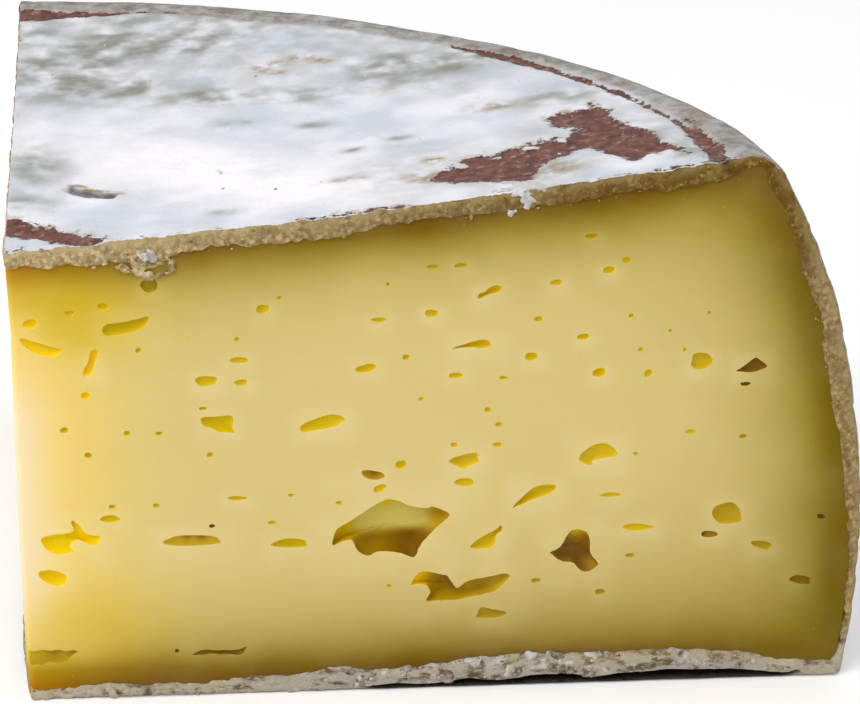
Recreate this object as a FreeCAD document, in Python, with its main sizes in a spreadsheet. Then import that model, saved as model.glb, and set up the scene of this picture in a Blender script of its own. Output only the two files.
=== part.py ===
import FreeCAD, Part
import math
import os

import Sketcher

# A quarter wheel of tomme, a pressed cow's-milk cheese with a grey bloomy rind.
#
# The wheel stands on its flat base with its axis upright. Its side bellies out below
# mid-height and leans in to a rounded shoulder, and its top sinks towards the middle.
# Two knife cuts from the middle leave one quarter: the front cut faces -Y and the side
# cut faces -X. Rind and paste are one piece. The larger eyes of the paste are open
# hollows in both cuts, and the finer ones are left to the surface finish.
#
# Frame: +Z up, the base on Z = 0, and the origin in the middle of the box around the
# base. The wheel itself is drawn about its own axis and the body is then placed.

NODE = "cheese_quarter"
SHEET = "Sizes"

# Least share of its solid that each kind of cut has to take away.
FRONT_CUT_SHARE = 0.4
SIDE_CUT_SHARE = 0.3
EYE_SHARE = 1e-6

# Driving sizes in millimetres and degrees.
SIZES = {
    "wheel_radius": 100.5,       # at the belly, the widest level
    "belly_level": 15.0,         # height of the widest level
    "shoulder_inset": 13.5,      # from the belly in to where side and top would meet
    "shoulder_height": 65.4,     # height of that meeting, before it is rounded
    "shoulder_round": 5.0,
    "foot_round": 2.5,           # small rounding between the side and the base
    "top_sink": 10.6,            # from the shoulder down to the top's middle
    "top_dish_radius": 1200.0,   # gentle hollow of the top between middle and shoulder
    "wedge_angle": 92.0,         # between the two cuts
    "corner_inset": 2.0,         # the cuts meet this far from the wheel's axis
    "cut_overrun": 20.0,         # how far the knife runs past the cheese
    "eye_depth_ratio": 0.8,      # depth of an eye over half its mean opening
}

# Eyes: place along the cut as a share of the wheel's radius, place up the cut as a
# share of the top's height in the middle, then opening width, opening height and tilt.
FRONT_EYES = (
    (0.44, 0.31, 9.6, 5.6, 4.0),
    (0.51, 0.20, 9.8, 3.2, -6.0),
    (0.67, 0.26, 4.8, 4.6, 10.0),
    (0.52, 0.46, 3.6, 2.0, 20.0),
    (0.60, 0.39, 4.6, 2.2, 24.0),
    (0.55, 0.29, 3.8, 2.4, 20.0),
    (0.69, 0.47, 4.2, 2.2, 6.0),
    (0.85, 0.33, 3.4, 2.6, 0.0),
    (0.37, 0.53, 4.8, 1.6, 10.0),
    (0.24, 0.52, 3.6, 2.0, -10.0),
    (0.14, 0.73, 5.2, 1.7, 12.0),
    (0.08, 0.29, 5.8, 2.6, 6.0),
    (0.06, 0.20, 3.2, 2.0, -20.0),
    (0.82, 0.65, 2.8, 1.8, 0.0),
)
SIDE_EYES = (
    (0.30, 0.36, 8.6, 4.4, 8.0),
    (0.46, 0.22, 4.2, 2.6, -12.0),
    (0.58, 0.44, 6.2, 2.6, 14.0),
    (0.22, 0.62, 4.4, 1.8, -8.0),
    (0.71, 0.30, 4.6, 3.4, 4.0),
    (0.40, 0.70, 3.6, 2.0, 20.0),
    (0.81, 0.56, 3.4, 2.2, 0.0),
    (0.13, 0.24, 4.0, 2.2, 10.0),
)
EYE_FIELDS = ("along", "up", "width", "height", "tilt")

# Sizes that follow from the driving ones, as expressions on the sheet.
SHOULDER_RADIUS = f"({SHEET}.wheel_radius - {SHEET}.shoulder_inset)"
MIDDLE_HEIGHT = f"({SHEET}.shoulder_height - {SHEET}.top_sink)"


def eye_names(cut, number):
    """The aliases of one eye's five cells."""
    return [f"{cut}_eye{number}_{field}" for field in EYE_FIELDS]


def all_sizes():
    """Every driving size with its alias, eyes included."""
    sizes = dict(SIZES)
    for cut, eyes in (("front", FRONT_EYES), ("side", SIDE_EYES)):
        for number, eye in enumerate(eyes, start=1):
            sizes.update(zip(eye_names(cut, number), eye))
    return sizes


def fill_sheet(doc):
    """Write the sizes to the spreadsheet, each with its alias."""
    sheet = doc.addObject("Spreadsheet::Sheet", SHEET)
    for row, (alias, value) in enumerate(all_sizes().items(), start=1):
        sheet.set(f"A{row}", alias)
        sheet.set(f"B{row}", str(value))
        sheet.setAlias(f"B{row}", alias)
    doc.recompute()
    return sheet


def origin_plane(body, role):
    """One of the body's own origin planes."""
    return next(part for part in body.Origin.OriginFeatures if part.Role == role)


def add_sketch(body, name, support):
    """A sketch lying in a plane of the body."""
    sketch = body.newObject("Sketcher::SketchObject", name)
    sketch.AttachmentSupport = [(support, "")]
    sketch.MapMode = "FlatFace"
    return sketch


def drive(sketch, kind, places, value, expression):
    """Add a dimension to a sketch and bind it to the sheet."""
    index = sketch.addConstraint(Sketcher.Constraint(kind, *places, value))
    sketch.setExpression(f"Constraints[{index}]", expression)


def arc_between(centre, start, end):
    """Counter-clockwise arc around a centre, from one point to another."""
    radius = math.dist(centre, start)
    first = math.atan2(start[1] - centre[1], start[0] - centre[0])
    last = math.atan2(end[1] - centre[1], end[0] - centre[0])
    circle = Part.Circle(FreeCAD.Vector(*centre, 0), FreeCAD.Vector(0, 0, 1), radius)
    return Part.ArcOfCircle(circle, first, last)


def draw_profile(sketch):
    """Half section of the wheel: base, foot, side, shoulder, top and axis.

    The first places are worked out from the sizes and lie close to the solution.
    """
    radius = SIZES["wheel_radius"]
    belly = SIZES["belly_level"]
    rim_x = radius - SIZES["shoulder_inset"]
    rim_z = SIZES["shoulder_height"]
    rim_round = SIZES["shoulder_round"]
    foot = SIZES["foot_round"]
    middle = rim_z - SIZES["top_sink"]
    lean = radius - rim_x
    rise = rim_z - belly
    side_radius = (lean ** 2 + rise ** 2) / (2 * lean)
    side_centre = (radius - side_radius, belly)
    dish = SIZES["top_dish_radius"]
    slope = math.atan2(rim_z - middle, rim_x)
    chord = math.hypot(rim_z - middle, rim_x)
    drop = math.sqrt(dish ** 2 - (chord / 2) ** 2)
    dish_centre = (
        rim_x / 2 - drop * math.sin(slope),
        (rim_z + middle) / 2 + drop * math.cos(slope),
    )

    def line(start, end):
        return Part.LineSegment(FreeCAD.Vector(*start, 0), FreeCAD.Vector(*end, 0))

    foot_in = (radius - 2 * foot, 0)
    foot_up = (radius - foot / 5, foot)
    rim_low = (rim_x + rim_round / 3, rim_z - rim_round / 2)
    rim_high = (rim_x - rim_round / 2, rim_z - rim_round / 10)
    base = sketch.addGeometry(line((0, 0), foot_in))
    heel = sketch.addGeometry(arc_between((foot_in[0], foot), foot_in, foot_up))
    side = sketch.addGeometry(arc_between(side_centre, foot_up, rim_low))
    rim_centre = (rim_x - rim_round / 2, rim_z - rim_round)
    rim = sketch.addGeometry(arc_between(rim_centre, rim_low, rim_high))
    top = sketch.addGeometry(arc_between(dish_centre, (0, middle), rim_high))
    axis = sketch.addGeometry(line((0, middle), (0, 0)))
    corner = sketch.addGeometry(Part.Point(FreeCAD.Vector(rim_x, rim_z, 0)), True)
    widest = sketch.addGeometry(Part.Point(FreeCAD.Vector(radius, belly, 0)), True)

    start, end, centre, point = 1, 2, 3, 1
    sketch.addConstraint(Sketcher.Constraint("Coincident", base, start, -1, 1))
    sketch.addConstraint(Sketcher.Constraint("Coincident", axis, end, base, start))
    sketch.addConstraint(Sketcher.Constraint("Coincident", top, start, axis, start))
    sketch.addConstraint(Sketcher.Constraint("Horizontal", base))
    sketch.addConstraint(Sketcher.Constraint("Vertical", axis))
    sketch.addConstraint(Sketcher.Constraint("Tangent", base, end, heel, start))
    sketch.addConstraint(Sketcher.Constraint("Tangent", heel, end, side, start))
    sketch.addConstraint(Sketcher.Constraint("Tangent", side, end, rim, start))
    sketch.addConstraint(Sketcher.Constraint("Tangent", rim, end, top, end))
    sketch.addConstraint(Sketcher.Constraint("PointOnObject", corner, point, side))
    sketch.addConstraint(Sketcher.Constraint("PointOnObject", corner, point, top))
    sketch.addConstraint(Sketcher.Constraint("PointOnObject", widest, point, side))
    sketch.addConstraint(Sketcher.Constraint("Horizontal", widest, point, side, centre))
    origin = (-1, 1)
    drive(sketch, "DistanceX", (*origin, widest, point), radius, f"{SHEET}.wheel_radius")
    drive(sketch, "DistanceY", (*origin, widest, point), belly, f"{SHEET}.belly_level")
    drive(sketch, "DistanceX", (*origin, corner, point), rim_x, SHOULDER_RADIUS)
    drive(sketch, "DistanceY", (*origin, corner, point), rim_z, f"{SHEET}.shoulder_height")
    drive(sketch, "DistanceY", (*origin, axis, start), middle, MIDDLE_HEIGHT)
    drive(sketch, "Radius", (heel,), foot, f"{SHEET}.foot_round")
    drive(sketch, "Radius", (rim,), rim_round, f"{SHEET}.shoulder_round")
    drive(sketch, "Radius", (top,), dish, f"{SHEET}.top_dish_radius")


def add_wheel(body):
    """Turn the half section about the wheel's axis."""
    sketch = add_sketch(body, "WheelSection", origin_plane(body, "XZ_Plane"))
    draw_profile(sketch)
    wheel = body.newObject("PartDesign::Revolution", "Wheel")
    wheel.Profile = sketch
    wheel.ReferenceAxis = (sketch, ["V_Axis"])
    wheel.Angle = 360
    return wheel


def add_cut(body, name, inset, angle):
    """Cut away everything to the left of a line across the wheel.

    The knife's line starts on the X axis, inset from the wheel's axis, and runs at an
    angle to +X. Both are expressions on the sheet, and the cut goes through the height.
    """
    sketch = add_sketch(body, name + "Line", origin_plane(body, "XY_Plane"))
    reach = SIZES["wheel_radius"] + SIZES["cut_overrun"]
    turn = math.radians(angle[0])
    along = FreeCAD.Vector(math.cos(turn), math.sin(turn), 0) * reach
    aside = FreeCAD.Vector(-math.sin(turn), math.cos(turn), 0) * 2 * reach
    hinge = FreeCAD.Vector(inset[0], 0, 0)
    corners = [hinge - along, hinge + along, hinge + along + aside, hinge - along + aside]
    for number, place in enumerate(corners):
        following = corners[(number + 1) % len(corners)]
        sketch.addGeometry(Part.LineSegment(place, following))
    pivot = sketch.addGeometry(Part.Point(hinge), True)
    start, end = 1, 2
    for number in range(len(corners)):
        following = (number + 1) % len(corners)
        joined = Sketcher.Constraint("Coincident", number, end, following, start)
        sketch.addConstraint(joined)
    for number in range(len(corners) - 1):
        sketch.addConstraint(Sketcher.Constraint("Perpendicular", number, number + 1))
    sketch.addConstraint(Sketcher.Constraint("Symmetric", 0, start, 0, end, pivot, 1))
    sketch.addConstraint(Sketcher.Constraint("PointOnObject", pivot, 1, -1))
    drive(sketch, "DistanceX", (-1, 1, pivot, 1), inset[0], inset[1])
    drive(sketch, "Angle", (-1, 1, 0, 1), turn, f"({angle[1]}) * 1 deg")
    whole = f"2 * ({SHEET}.wheel_radius + {SHEET}.cut_overrun)"
    drive(sketch, "Distance", (0,), 2 * reach, whole)
    drive(sketch, "Distance", (1,), 2 * reach, whole)
    cut = body.newObject("PartDesign::Pocket", name)
    cut.Profile = sketch
    cut.Type = "Length"
    cut.Reversed = True
    cut.setExpression("Length", f"{SHEET}.shoulder_height + {SHEET}.cut_overrun")
    return cut


def add_cut_plane(body, name, turn):
    """Plane of a cut, upright through the quarter's corner and turned about +Z."""
    plane = body.newObject("PartDesign::Plane", name)
    plane.AttachmentSupport = [(origin_plane(body, "XZ_Plane"), "")]
    plane.MapMode = "FlatFace"
    upright = FreeCAD.Rotation(FreeCAD.Vector(0, 1, 0), turn[0])
    plane.AttachmentOffset = FreeCAD.Placement(FreeCAD.Vector(), upright)
    plane.setExpression("AttachmentOffset.Base.x", f"{SHEET}.corner_inset")
    plane.setExpression("AttachmentOffset.Rotation.Angle", turn[1])
    return plane


def add_eye(body, plane, cut, number, tilt):
    """One eye: half of an ellipsoid hollowed into a cut."""
    along, up, width, height, tilt_name = (
        f"{SHEET}.{alias}" for alias in eye_names(cut, number)
    )
    eye = body.newObject("PartDesign::SubtractiveEllipsoid", f"{cut.title()}Eye{number}")
    eye.AttachmentSupport = [(plane, "")]
    eye.MapMode = "FlatFace"
    level = FreeCAD.Rotation(FreeCAD.Vector(0, 0, 1), tilt)
    eye.AttachmentOffset = FreeCAD.Placement(FreeCAD.Vector(), level)
    reach = f"{along} * {SHEET}.wheel_radius - {SHEET}.corner_inset"
    eye.setExpression("AttachmentOffset.Base.x", reach)
    eye.setExpression("AttachmentOffset.Base.y", f"{up} * {MIDDLE_HEIGHT}")
    eye.setExpression("AttachmentOffset.Rotation.Angle", tilt_name)
    depth = f"{SHEET}.eye_depth_ratio * ({width} + {height}) / 4"
    eye.setExpression("Radius1", depth)
    eye.setExpression("Radius2", f"{width} / 2")
    eye.setExpression("Radius3", f"{height} / 2")
    return eye


def place_body(body):
    """Put the middle of the box around the base at the origin.

    The side cut ends on the belly circle. Its end, or the corner, is the lowest X, and
    the belly circle or that end is the highest Y.
    """
    radius = f"{SHEET}.wheel_radius"
    inset = f"{SHEET}.corner_inset"
    turn = f"({SHEET}.wedge_angle * 1 deg)"
    run = f"(sqrt({radius} ^ 2 - ({inset} * sin{turn}) ^ 2) - {inset} * cos{turn})"
    low_x = f"min({inset}; {inset} + {run} * cos{turn})"
    high_y = f"({SHEET}.wedge_angle > 90 ? {radius} : {run} * sin{turn})"
    body.setExpression("Placement.Base.x", f"-({low_x} + {radius}) / 2")
    body.setExpression("Placement.Base.y", f"-{high_y} / 2")


def check(doc, body):
    """Stop if anything failed to compute or the solid isn't sound."""
    for item in doc.Objects:
        if "Invalid" in item.State or "Error" in item.State:
            raise RuntimeError(f"{item.Name} failed: {item.State}")
    shape = body.Shape
    if shape.isNull() or not shape.isValid() or len(shape.Solids) != 1:
        raise RuntimeError(f"{body.Label} isn't one valid solid")


def check_smaller(doc, before, after, least):
    """Stop if a cut took away less than a share of what was there.

    Returns the volume that is left.
    """
    doc.recompute()
    if after.Shape.Volume > before * (1 - least):
        raise RuntimeError(f"{after.Name} cuts nothing")
    return after.Shape.Volume


def build():
    """Build the document and return its body."""
    doc = FreeCAD.newDocument("Cheese")
    fill_sheet(doc)
    body = doc.addObject("PartDesign::Body", "Quarter")
    body.Label = NODE
    wheel = add_wheel(body)
    doc.recompute()
    volume = wheel.Shape.Volume
    half_turn = 180.0
    front = add_cut(body, "FrontCut", (0.0, "0"), (half_turn, str(half_turn)))
    volume = check_smaller(doc, volume, front, FRONT_CUT_SHARE)
    angle = (SIZES["wedge_angle"], f"{SHEET}.wedge_angle")
    inset = (SIZES["corner_inset"], f"{SHEET}.corner_inset")
    side = add_cut(body, "SideCut", inset, angle)
    volume = check_smaller(doc, volume, side, SIDE_CUT_SHARE)
    planes = {
        "front": add_cut_plane(body, "FrontPlane", (0.0, "0")),
        "side": add_cut_plane(body, "SidePlane", angle),
    }
    for cut, eyes in (("front", FRONT_EYES), ("side", SIDE_EYES)):
        for number, eye in enumerate(eyes, start=1):
            hollow = add_eye(body, planes[cut], cut, number, eye[-1])
            volume = check_smaller(doc, volume, hollow, EYE_SHARE)
    place_body(body)
    doc.recompute()
    check(doc, body)
    return body


quarter = build()
os.makedirs("parts", exist_ok=True)
quarter.Shape.exportStep(f"parts/{quarter.Label}.step")
box = quarter.Shape.optimalBoundingBox()
print(f"{quarter.Label}: {quarter.Shape.Volume / 1000:.1f} cm3")
print(f"from {box.XMin:.2f}, {box.YMin:.2f}, {box.ZMin:.2f}")
print(f"to {box.XMax:.2f}, {box.YMax:.2f}, {box.ZMax:.2f}")
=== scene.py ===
"""Looks of a quarter wheel of tomme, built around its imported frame.

The frame holds the cheese as one solid, node cheese_quarter. Five pieces stand for it:

* paste: the solid wedge of cheese, with open eyes hollowed into both knife cuts;
* rind: a thin closed shell over top, side and base, with its crumbly cut edges;
* base_lumps: the broken lumps of rind along the foot of both cuts;
* rind_crumbs and bloom_flakes: loose grains on the cut edges and the top.

Shapes are drawn in millimetres about the wheel's own upright axis, with the front cut
on Y = 0, and are put into the frame's place and metres when a mesh is made.
"""

import itertools
import logging
import math
from dataclasses import dataclass, field, replace
from enum import Enum

import bmesh
import bpy
import numpy as np
from mathutils import Matrix, Vector

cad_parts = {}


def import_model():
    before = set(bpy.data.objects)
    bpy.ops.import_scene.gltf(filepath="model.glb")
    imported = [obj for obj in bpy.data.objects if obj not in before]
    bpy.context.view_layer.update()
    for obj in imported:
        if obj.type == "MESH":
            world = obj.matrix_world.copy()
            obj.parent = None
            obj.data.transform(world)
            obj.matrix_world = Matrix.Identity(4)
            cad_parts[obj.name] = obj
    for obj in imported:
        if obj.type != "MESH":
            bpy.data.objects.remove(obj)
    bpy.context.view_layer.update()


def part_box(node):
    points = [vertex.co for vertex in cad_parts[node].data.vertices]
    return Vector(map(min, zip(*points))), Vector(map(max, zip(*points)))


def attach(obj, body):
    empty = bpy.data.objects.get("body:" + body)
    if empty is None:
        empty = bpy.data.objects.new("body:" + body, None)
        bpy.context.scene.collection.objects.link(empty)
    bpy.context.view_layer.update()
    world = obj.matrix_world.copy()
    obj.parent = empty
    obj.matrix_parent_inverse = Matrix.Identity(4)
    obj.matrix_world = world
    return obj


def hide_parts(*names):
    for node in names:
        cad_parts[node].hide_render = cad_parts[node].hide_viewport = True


LOG = logging.getLogger("cheese")
NODE = "cheese_quarter"
MM = 0.001

Colour = tuple[float, float, float]
Points = np.ndarray
Piece = bpy.types.Object
Socket = bpy.types.NodeSocket
Pairs = tuple[tuple[float, float], ...]


def smooth_step(value: np.ndarray, low: float, high: float) -> np.ndarray:
    """Ease from 0 at low to 1 at high."""
    share = np.clip((value - low) / (high - low), 0.0, 1.0)
    return share * share * (3.0 - 2.0 * share)


def bell(offset: np.ndarray, width: float) -> np.ndarray:
    """Bell curve that is 1 at no offset and 0.37 at its width."""
    return np.exp(-((offset / width) ** 2))


def fade(distance: np.ndarray, start: float, length: float | np.ndarray) -> np.ndarray:
    """Fall from 1 at the start towards 0, to 0.37 after each further length."""
    return np.exp(-np.maximum(distance - start, 0.0) / length)


def read_off(pairs: Pairs, place: np.ndarray) -> np.ndarray:
    """Size at places, from pairs of place and size."""
    return np.interp(place, *np.array(pairs).T)


def blend(first: Points | Colour, second: Points | Colour, share: np.ndarray) -> Points:
    """Mix two colours for each point; a share of 1 is all second."""
    share = share[:, None]
    return np.array(first) * (1.0 - share) + np.array(second) * share


def to_run(places: Points, start: Points, end: Points) -> np.ndarray:
    """Level distance of points to a straight run between two points."""
    run = end - start
    gap = places - start
    share = np.clip(gap @ run / (run @ run), 0.0, 1.0)
    return np.hypot(*(gap - np.multiply.outer(share, run)).T)


def light_of(colours: Points) -> Points:
    """Turn 0 to 255 display colours into linear light."""
    share = np.clip(colours, 0.0, 255.0) / 255.0
    return np.where(share <= 0.04045, share / 12.92, ((share + 0.055) / 1.055) ** 2.4)


def linear(colour: Colour) -> tuple[float, float, float, float]:
    """Turn a 0 to 255 display colour into linear light with full alpha."""
    red, green, blue = light_of(np.asarray(colour, float)).tolist()
    return (red, green, blue, 1.0)


class Grain:
    """Smooth seeded noise in space, the same on every run."""

    CELLS = 40

    def __init__(self, seed: int) -> None:
        """Draw the lattice that a seed picks."""
        shape = (self.CELLS,) * 3
        self.lattice = np.random.default_rng(seed).uniform(-1.0, 1.0, shape)

    def at(self, places: Points, size: float) -> np.ndarray:
        """Noise of one size.

        Args:
            places: One row of three coordinates for each point, in millimetres.
            size: Spacing of the noise's cells, in millimetres.

        Returns:
            One number for each point, within -1 and 1.
        """
        scaled = places / size + 1000.0
        low = np.floor(scaled).astype(int)
        part = scaled - low
        part = part * part * (3.0 - 2.0 * part)
        total = np.zeros(len(places))
        for corner in itertools.product((0, 1), repeat=3):
            step = np.array(corner)
            weight = np.where(step == 1, part, 1.0 - part).prod(axis=1)
            cell = (low + step) % self.CELLS
            total += weight * self.lattice[cell[:, 0], cell[:, 1], cell[:, 2]]
        return total

    def layered(self, places: Points, size: float, layers: int = 3) -> np.ndarray:
        """Noise of several sizes, each half as large and half as strong, about within -1 and 1."""
        return sum(self.at(places, size / 2**n) / 2**n for n in range(layers)) / 1.5


@dataclass(frozen=True)
class Wheel:
    """Form of the wheel and its two cuts, in millimetres and degrees."""

    radius: float
    height: float
    belly_level: float = 15.0
    shoulder_inset: float = 13.5
    shoulder_lift: float = 0.48
    top_sink: float = 10.6
    shoulder_round: float = 5.0
    foot_round: float = 0.8
    dish_radius: float = 1200.0
    wedge_angle: float = 92.0
    corner_inset: float = 2.0
    corner_worn: Pairs = ((0, 0.8), (6, 0.6), (12, 0.38), (20, 0.25), (36, 0.2), (44, 0.3), (52, 0.0))
    wear_reach: float = 3.0

    @classmethod
    def from_box(cls, low: Vector, high: Vector) -> "Wheel":
        """The wheel that the quarter was cut from, by the corners of the frame's box in metres."""
        return cls(radius=(high.y - low.y) / MM, height=(high.z - low.z) / MM)

    @property
    def shoulder(self) -> tuple[float, float]:
        """Radius and height where side and top would meet without rounding."""
        return self.radius - self.shoulder_inset, self.height + self.shoulder_lift

    @property
    def middle_height(self) -> float:
        """Height of the top on the wheel's axis."""
        return self.shoulder[1] - self.top_sink

    @property
    def side_arc(self) -> tuple[float, float, float]:
        """Centre radius, centre height and radius of the side's arc."""
        rise = self.shoulder[1] - self.belly_level
        arc = (self.shoulder_inset**2 + rise**2) / (2.0 * self.shoulder_inset)
        return self.radius - arc, self.belly_level, arc

    @property
    def dish_arc(self) -> tuple[float, float, float]:
        """Centre radius, centre height and radius of the hollow top's arc."""
        rim, high = self.shoulder
        slope = math.atan2(self.top_sink, rim)
        chord = math.hypot(self.top_sink, rim)
        drop = math.sqrt(self.dish_radius**2 - (chord / 2.0) ** 2)
        middle = (high + self.middle_height) / 2.0
        return rim / 2.0 - drop * math.sin(slope), middle + drop * math.cos(slope), self.dish_radius

    @property
    def foot_centre(self) -> tuple[float, float]:
        """Centre of the foot's rounding."""
        centre, level, arc = self.side_arc
        run = math.sqrt((arc - self.foot_round) ** 2 - (self.foot_round - level) ** 2)
        return centre + run, self.foot_round

    @property
    def rim_centre(self) -> tuple[float, float]:
        """Centre of the shoulder's rounding, inside the side and below the top."""
        side = np.array(self.side_arc[:2])
        dish = np.array(self.dish_arc[:2])
        from_side = self.side_arc[2] - self.shoulder_round
        from_dish = self.dish_arc[2] + self.shoulder_round
        gap = dish - side
        length = float(np.hypot(*gap))
        along = (length**2 + from_side**2 - from_dish**2) / (2.0 * length)
        aside = math.sqrt(max(from_side**2 - along**2, 0.0))
        unit = gap / length
        places = [side + along * unit + turn * aside * unit[::-1] * (1, -1) for turn in (1, -1)]
        best = max(places, key=lambda place: place[0])
        return float(best[0]), float(best[1])

    def side_radius(self, height: np.ndarray) -> np.ndarray:
        """Radius of the side at a height."""
        centre, level, arc = self.side_arc
        return centre + np.sqrt(np.maximum(arc**2 - (height - level) ** 2, 0.0))

    def top_height(self, radius: np.ndarray) -> np.ndarray:
        """Height of the top at a radius."""
        centre, level, arc = self.dish_arc
        return level - np.sqrt(arc**2 - (radius - centre) ** 2)

    def run(self, angle: np.ndarray, radius: np.ndarray) -> np.ndarray:
        """Level distance from the quarter's corner, at an angle from the front cut, to a radius."""
        ahead = self.corner_inset * np.cos(angle)
        return np.sqrt(np.maximum(radius**2 - self.corner_inset**2 + ahead**2, 0.0)) - ahead

    def along_cut(self, places: Points) -> np.ndarray:
        """Level distance from the quarter's upright corner edge."""
        return np.hypot(places[:, 0] - self.corner_inset, places[:, 1])

    def corner_wear(self, places: Points) -> np.ndarray:
        """How far the upright corner edge is worn in, most at its foot."""
        return read_off(self.corner_worn, places[:, 2]) * np.exp(-self.along_cut(places) / self.wear_reach)


class Stage:
    """Where the wheel stands in the frame, and how meshes get there."""

    def __init__(self) -> None:
        """Read the frame's box."""
        low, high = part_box(NODE)
        self.wheel = Wheel.from_box(low, high)
        self.shift = np.array([high.x / MM - self.wheel.radius, low.y / MM, low.z / MM])

    def mesh(self, name: str, places: Points, faces: list[tuple[int, ...]]) -> Piece:
        """Make an object from points about the wheel's axis.

        Args:
            name: Name of the piece.
            places: Vertices, in millimetres.
            faces: Vertex numbers of each face.

        Returns:
            The new object, in metres and in the frame's place.
        """
        data = bpy.data.meshes.new(name)
        data.from_pydata(((places + self.shift) * MM).tolist(), [], faces)
        data.update()
        piece = bpy.data.objects.new(name, data)
        bpy.context.scene.collection.objects.link(piece)
        return piece

    def places(self, piece: Piece) -> Points:
        """Vertices of a piece, in millimetres about the wheel's axis."""
        return read(piece.data.vertices, "co", 3).astype(float) / MM - self.shift


def read(items: bpy.types.bpy_prop_collection, name: str, width: int = 1,
         kind: type = np.float32) -> np.ndarray:
    """Read one property of every item.

    Args:
        items: Vertices, edges, polygons or loops of a mesh.
        name: Name of the property.
        width: How many numbers it holds.
        kind: Type of the numbers.

    Returns:
        One number for each item, or one row of numbers.
    """
    flat = np.empty(len(items) * width, kind)
    items.foreach_get(name, flat)
    return flat.reshape(-1, width) if width > 1 else flat


def settle(piece: Piece) -> None:
    """Make what a piece's modifiers do part of its mesh."""
    depsgraph = bpy.context.evaluated_depsgraph_get()
    result = bpy.data.meshes.new_from_object(piece.evaluated_get(depsgraph))
    piece.modifiers.clear()
    piece.data = result


def set_values(piece: Piece, name: str, values: np.ndarray) -> None:
    """Store one number for each vertex under the name that the material reads."""
    layer = piece.data.attributes.new(name, "FLOAT", "POINT")
    layer.data.foreach_set("value", np.asarray(values, np.float32))


def shade_smooth(piece: Piece, sharp_angle: float) -> None:
    """Shade a piece smooth, with edges sharper than an angle kept."""
    piece.data.polygons.foreach_set("use_smooth", [True] * len(piece.data.polygons))
    piece.data.set_sharp_from_angle(angle=math.radians(sharp_angle))
    piece.data.update()


def cavities(piece: Piece, rounds: int) -> np.ndarray:
    """How hollow the surface is at each vertex: above 0 in a crease, below 0 on a bulge.

    Args:
        piece: The piece.
        rounds: How often the numbers are evened out between neighbours.

    Returns:
        One number for each vertex.
    """
    data = piece.data
    total = len(data.vertices)
    places, normals = read(data.vertices, "co", 3) / MM, read(data.vertices, "normal", 3)
    ends = read(data.edges, "vertices", 2, np.int32)
    start, end = ends.T
    count = np.maximum(np.bincount(ends.ravel(), minlength=total), 1)

    def around(values: np.ndarray) -> np.ndarray:
        """Mean of each vertex's neighbours."""
        return (np.bincount(start, values[end], total) + np.bincount(end, values[start], total)) / count

    middle = np.stack([around(places[:, axis]) for axis in range(3)], axis=1)
    hollow = ((middle - places) * normals).sum(axis=1)
    for _ in range(rounds):
        hollow = 0.5 * hollow + 0.5 * around(hollow)
    return hollow


def warmth(along: np.ndarray) -> np.ndarray:
    """Share of tan in the broken rind at the foot of a cut, by the distance from the corner."""
    return np.maximum(1.0 - smooth_step(along, 20.0, 40.0), 0.8 * smooth_step(along, 84.0, 91.0))


def grid_faces(index: np.ndarray, flip: bool = False) -> list[tuple[int, ...]]:
    """Faces between the rows and columns of a grid of vertex numbers.

    Args:
        index: Vertex numbers, rows by columns.
        flip: Turn the faces over.

    Returns:
        Quads, or triangles where two corners are the same vertex.
    """
    corners = [index[:-1, :-1], index[1:, :-1], index[1:, 1:], index[:-1, 1:]]
    quads = np.stack([corner.ravel() for corner in corners], axis=1)
    if flip:
        quads = quads[:, ::-1]
    faces = []
    for quad in quads.tolist():
        face = tuple(dict.fromkeys(quad))
        if len(face) > 2:
            faces.append(face)
    return faces


# --------------------------------------------------------------------------- finishes


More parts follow.
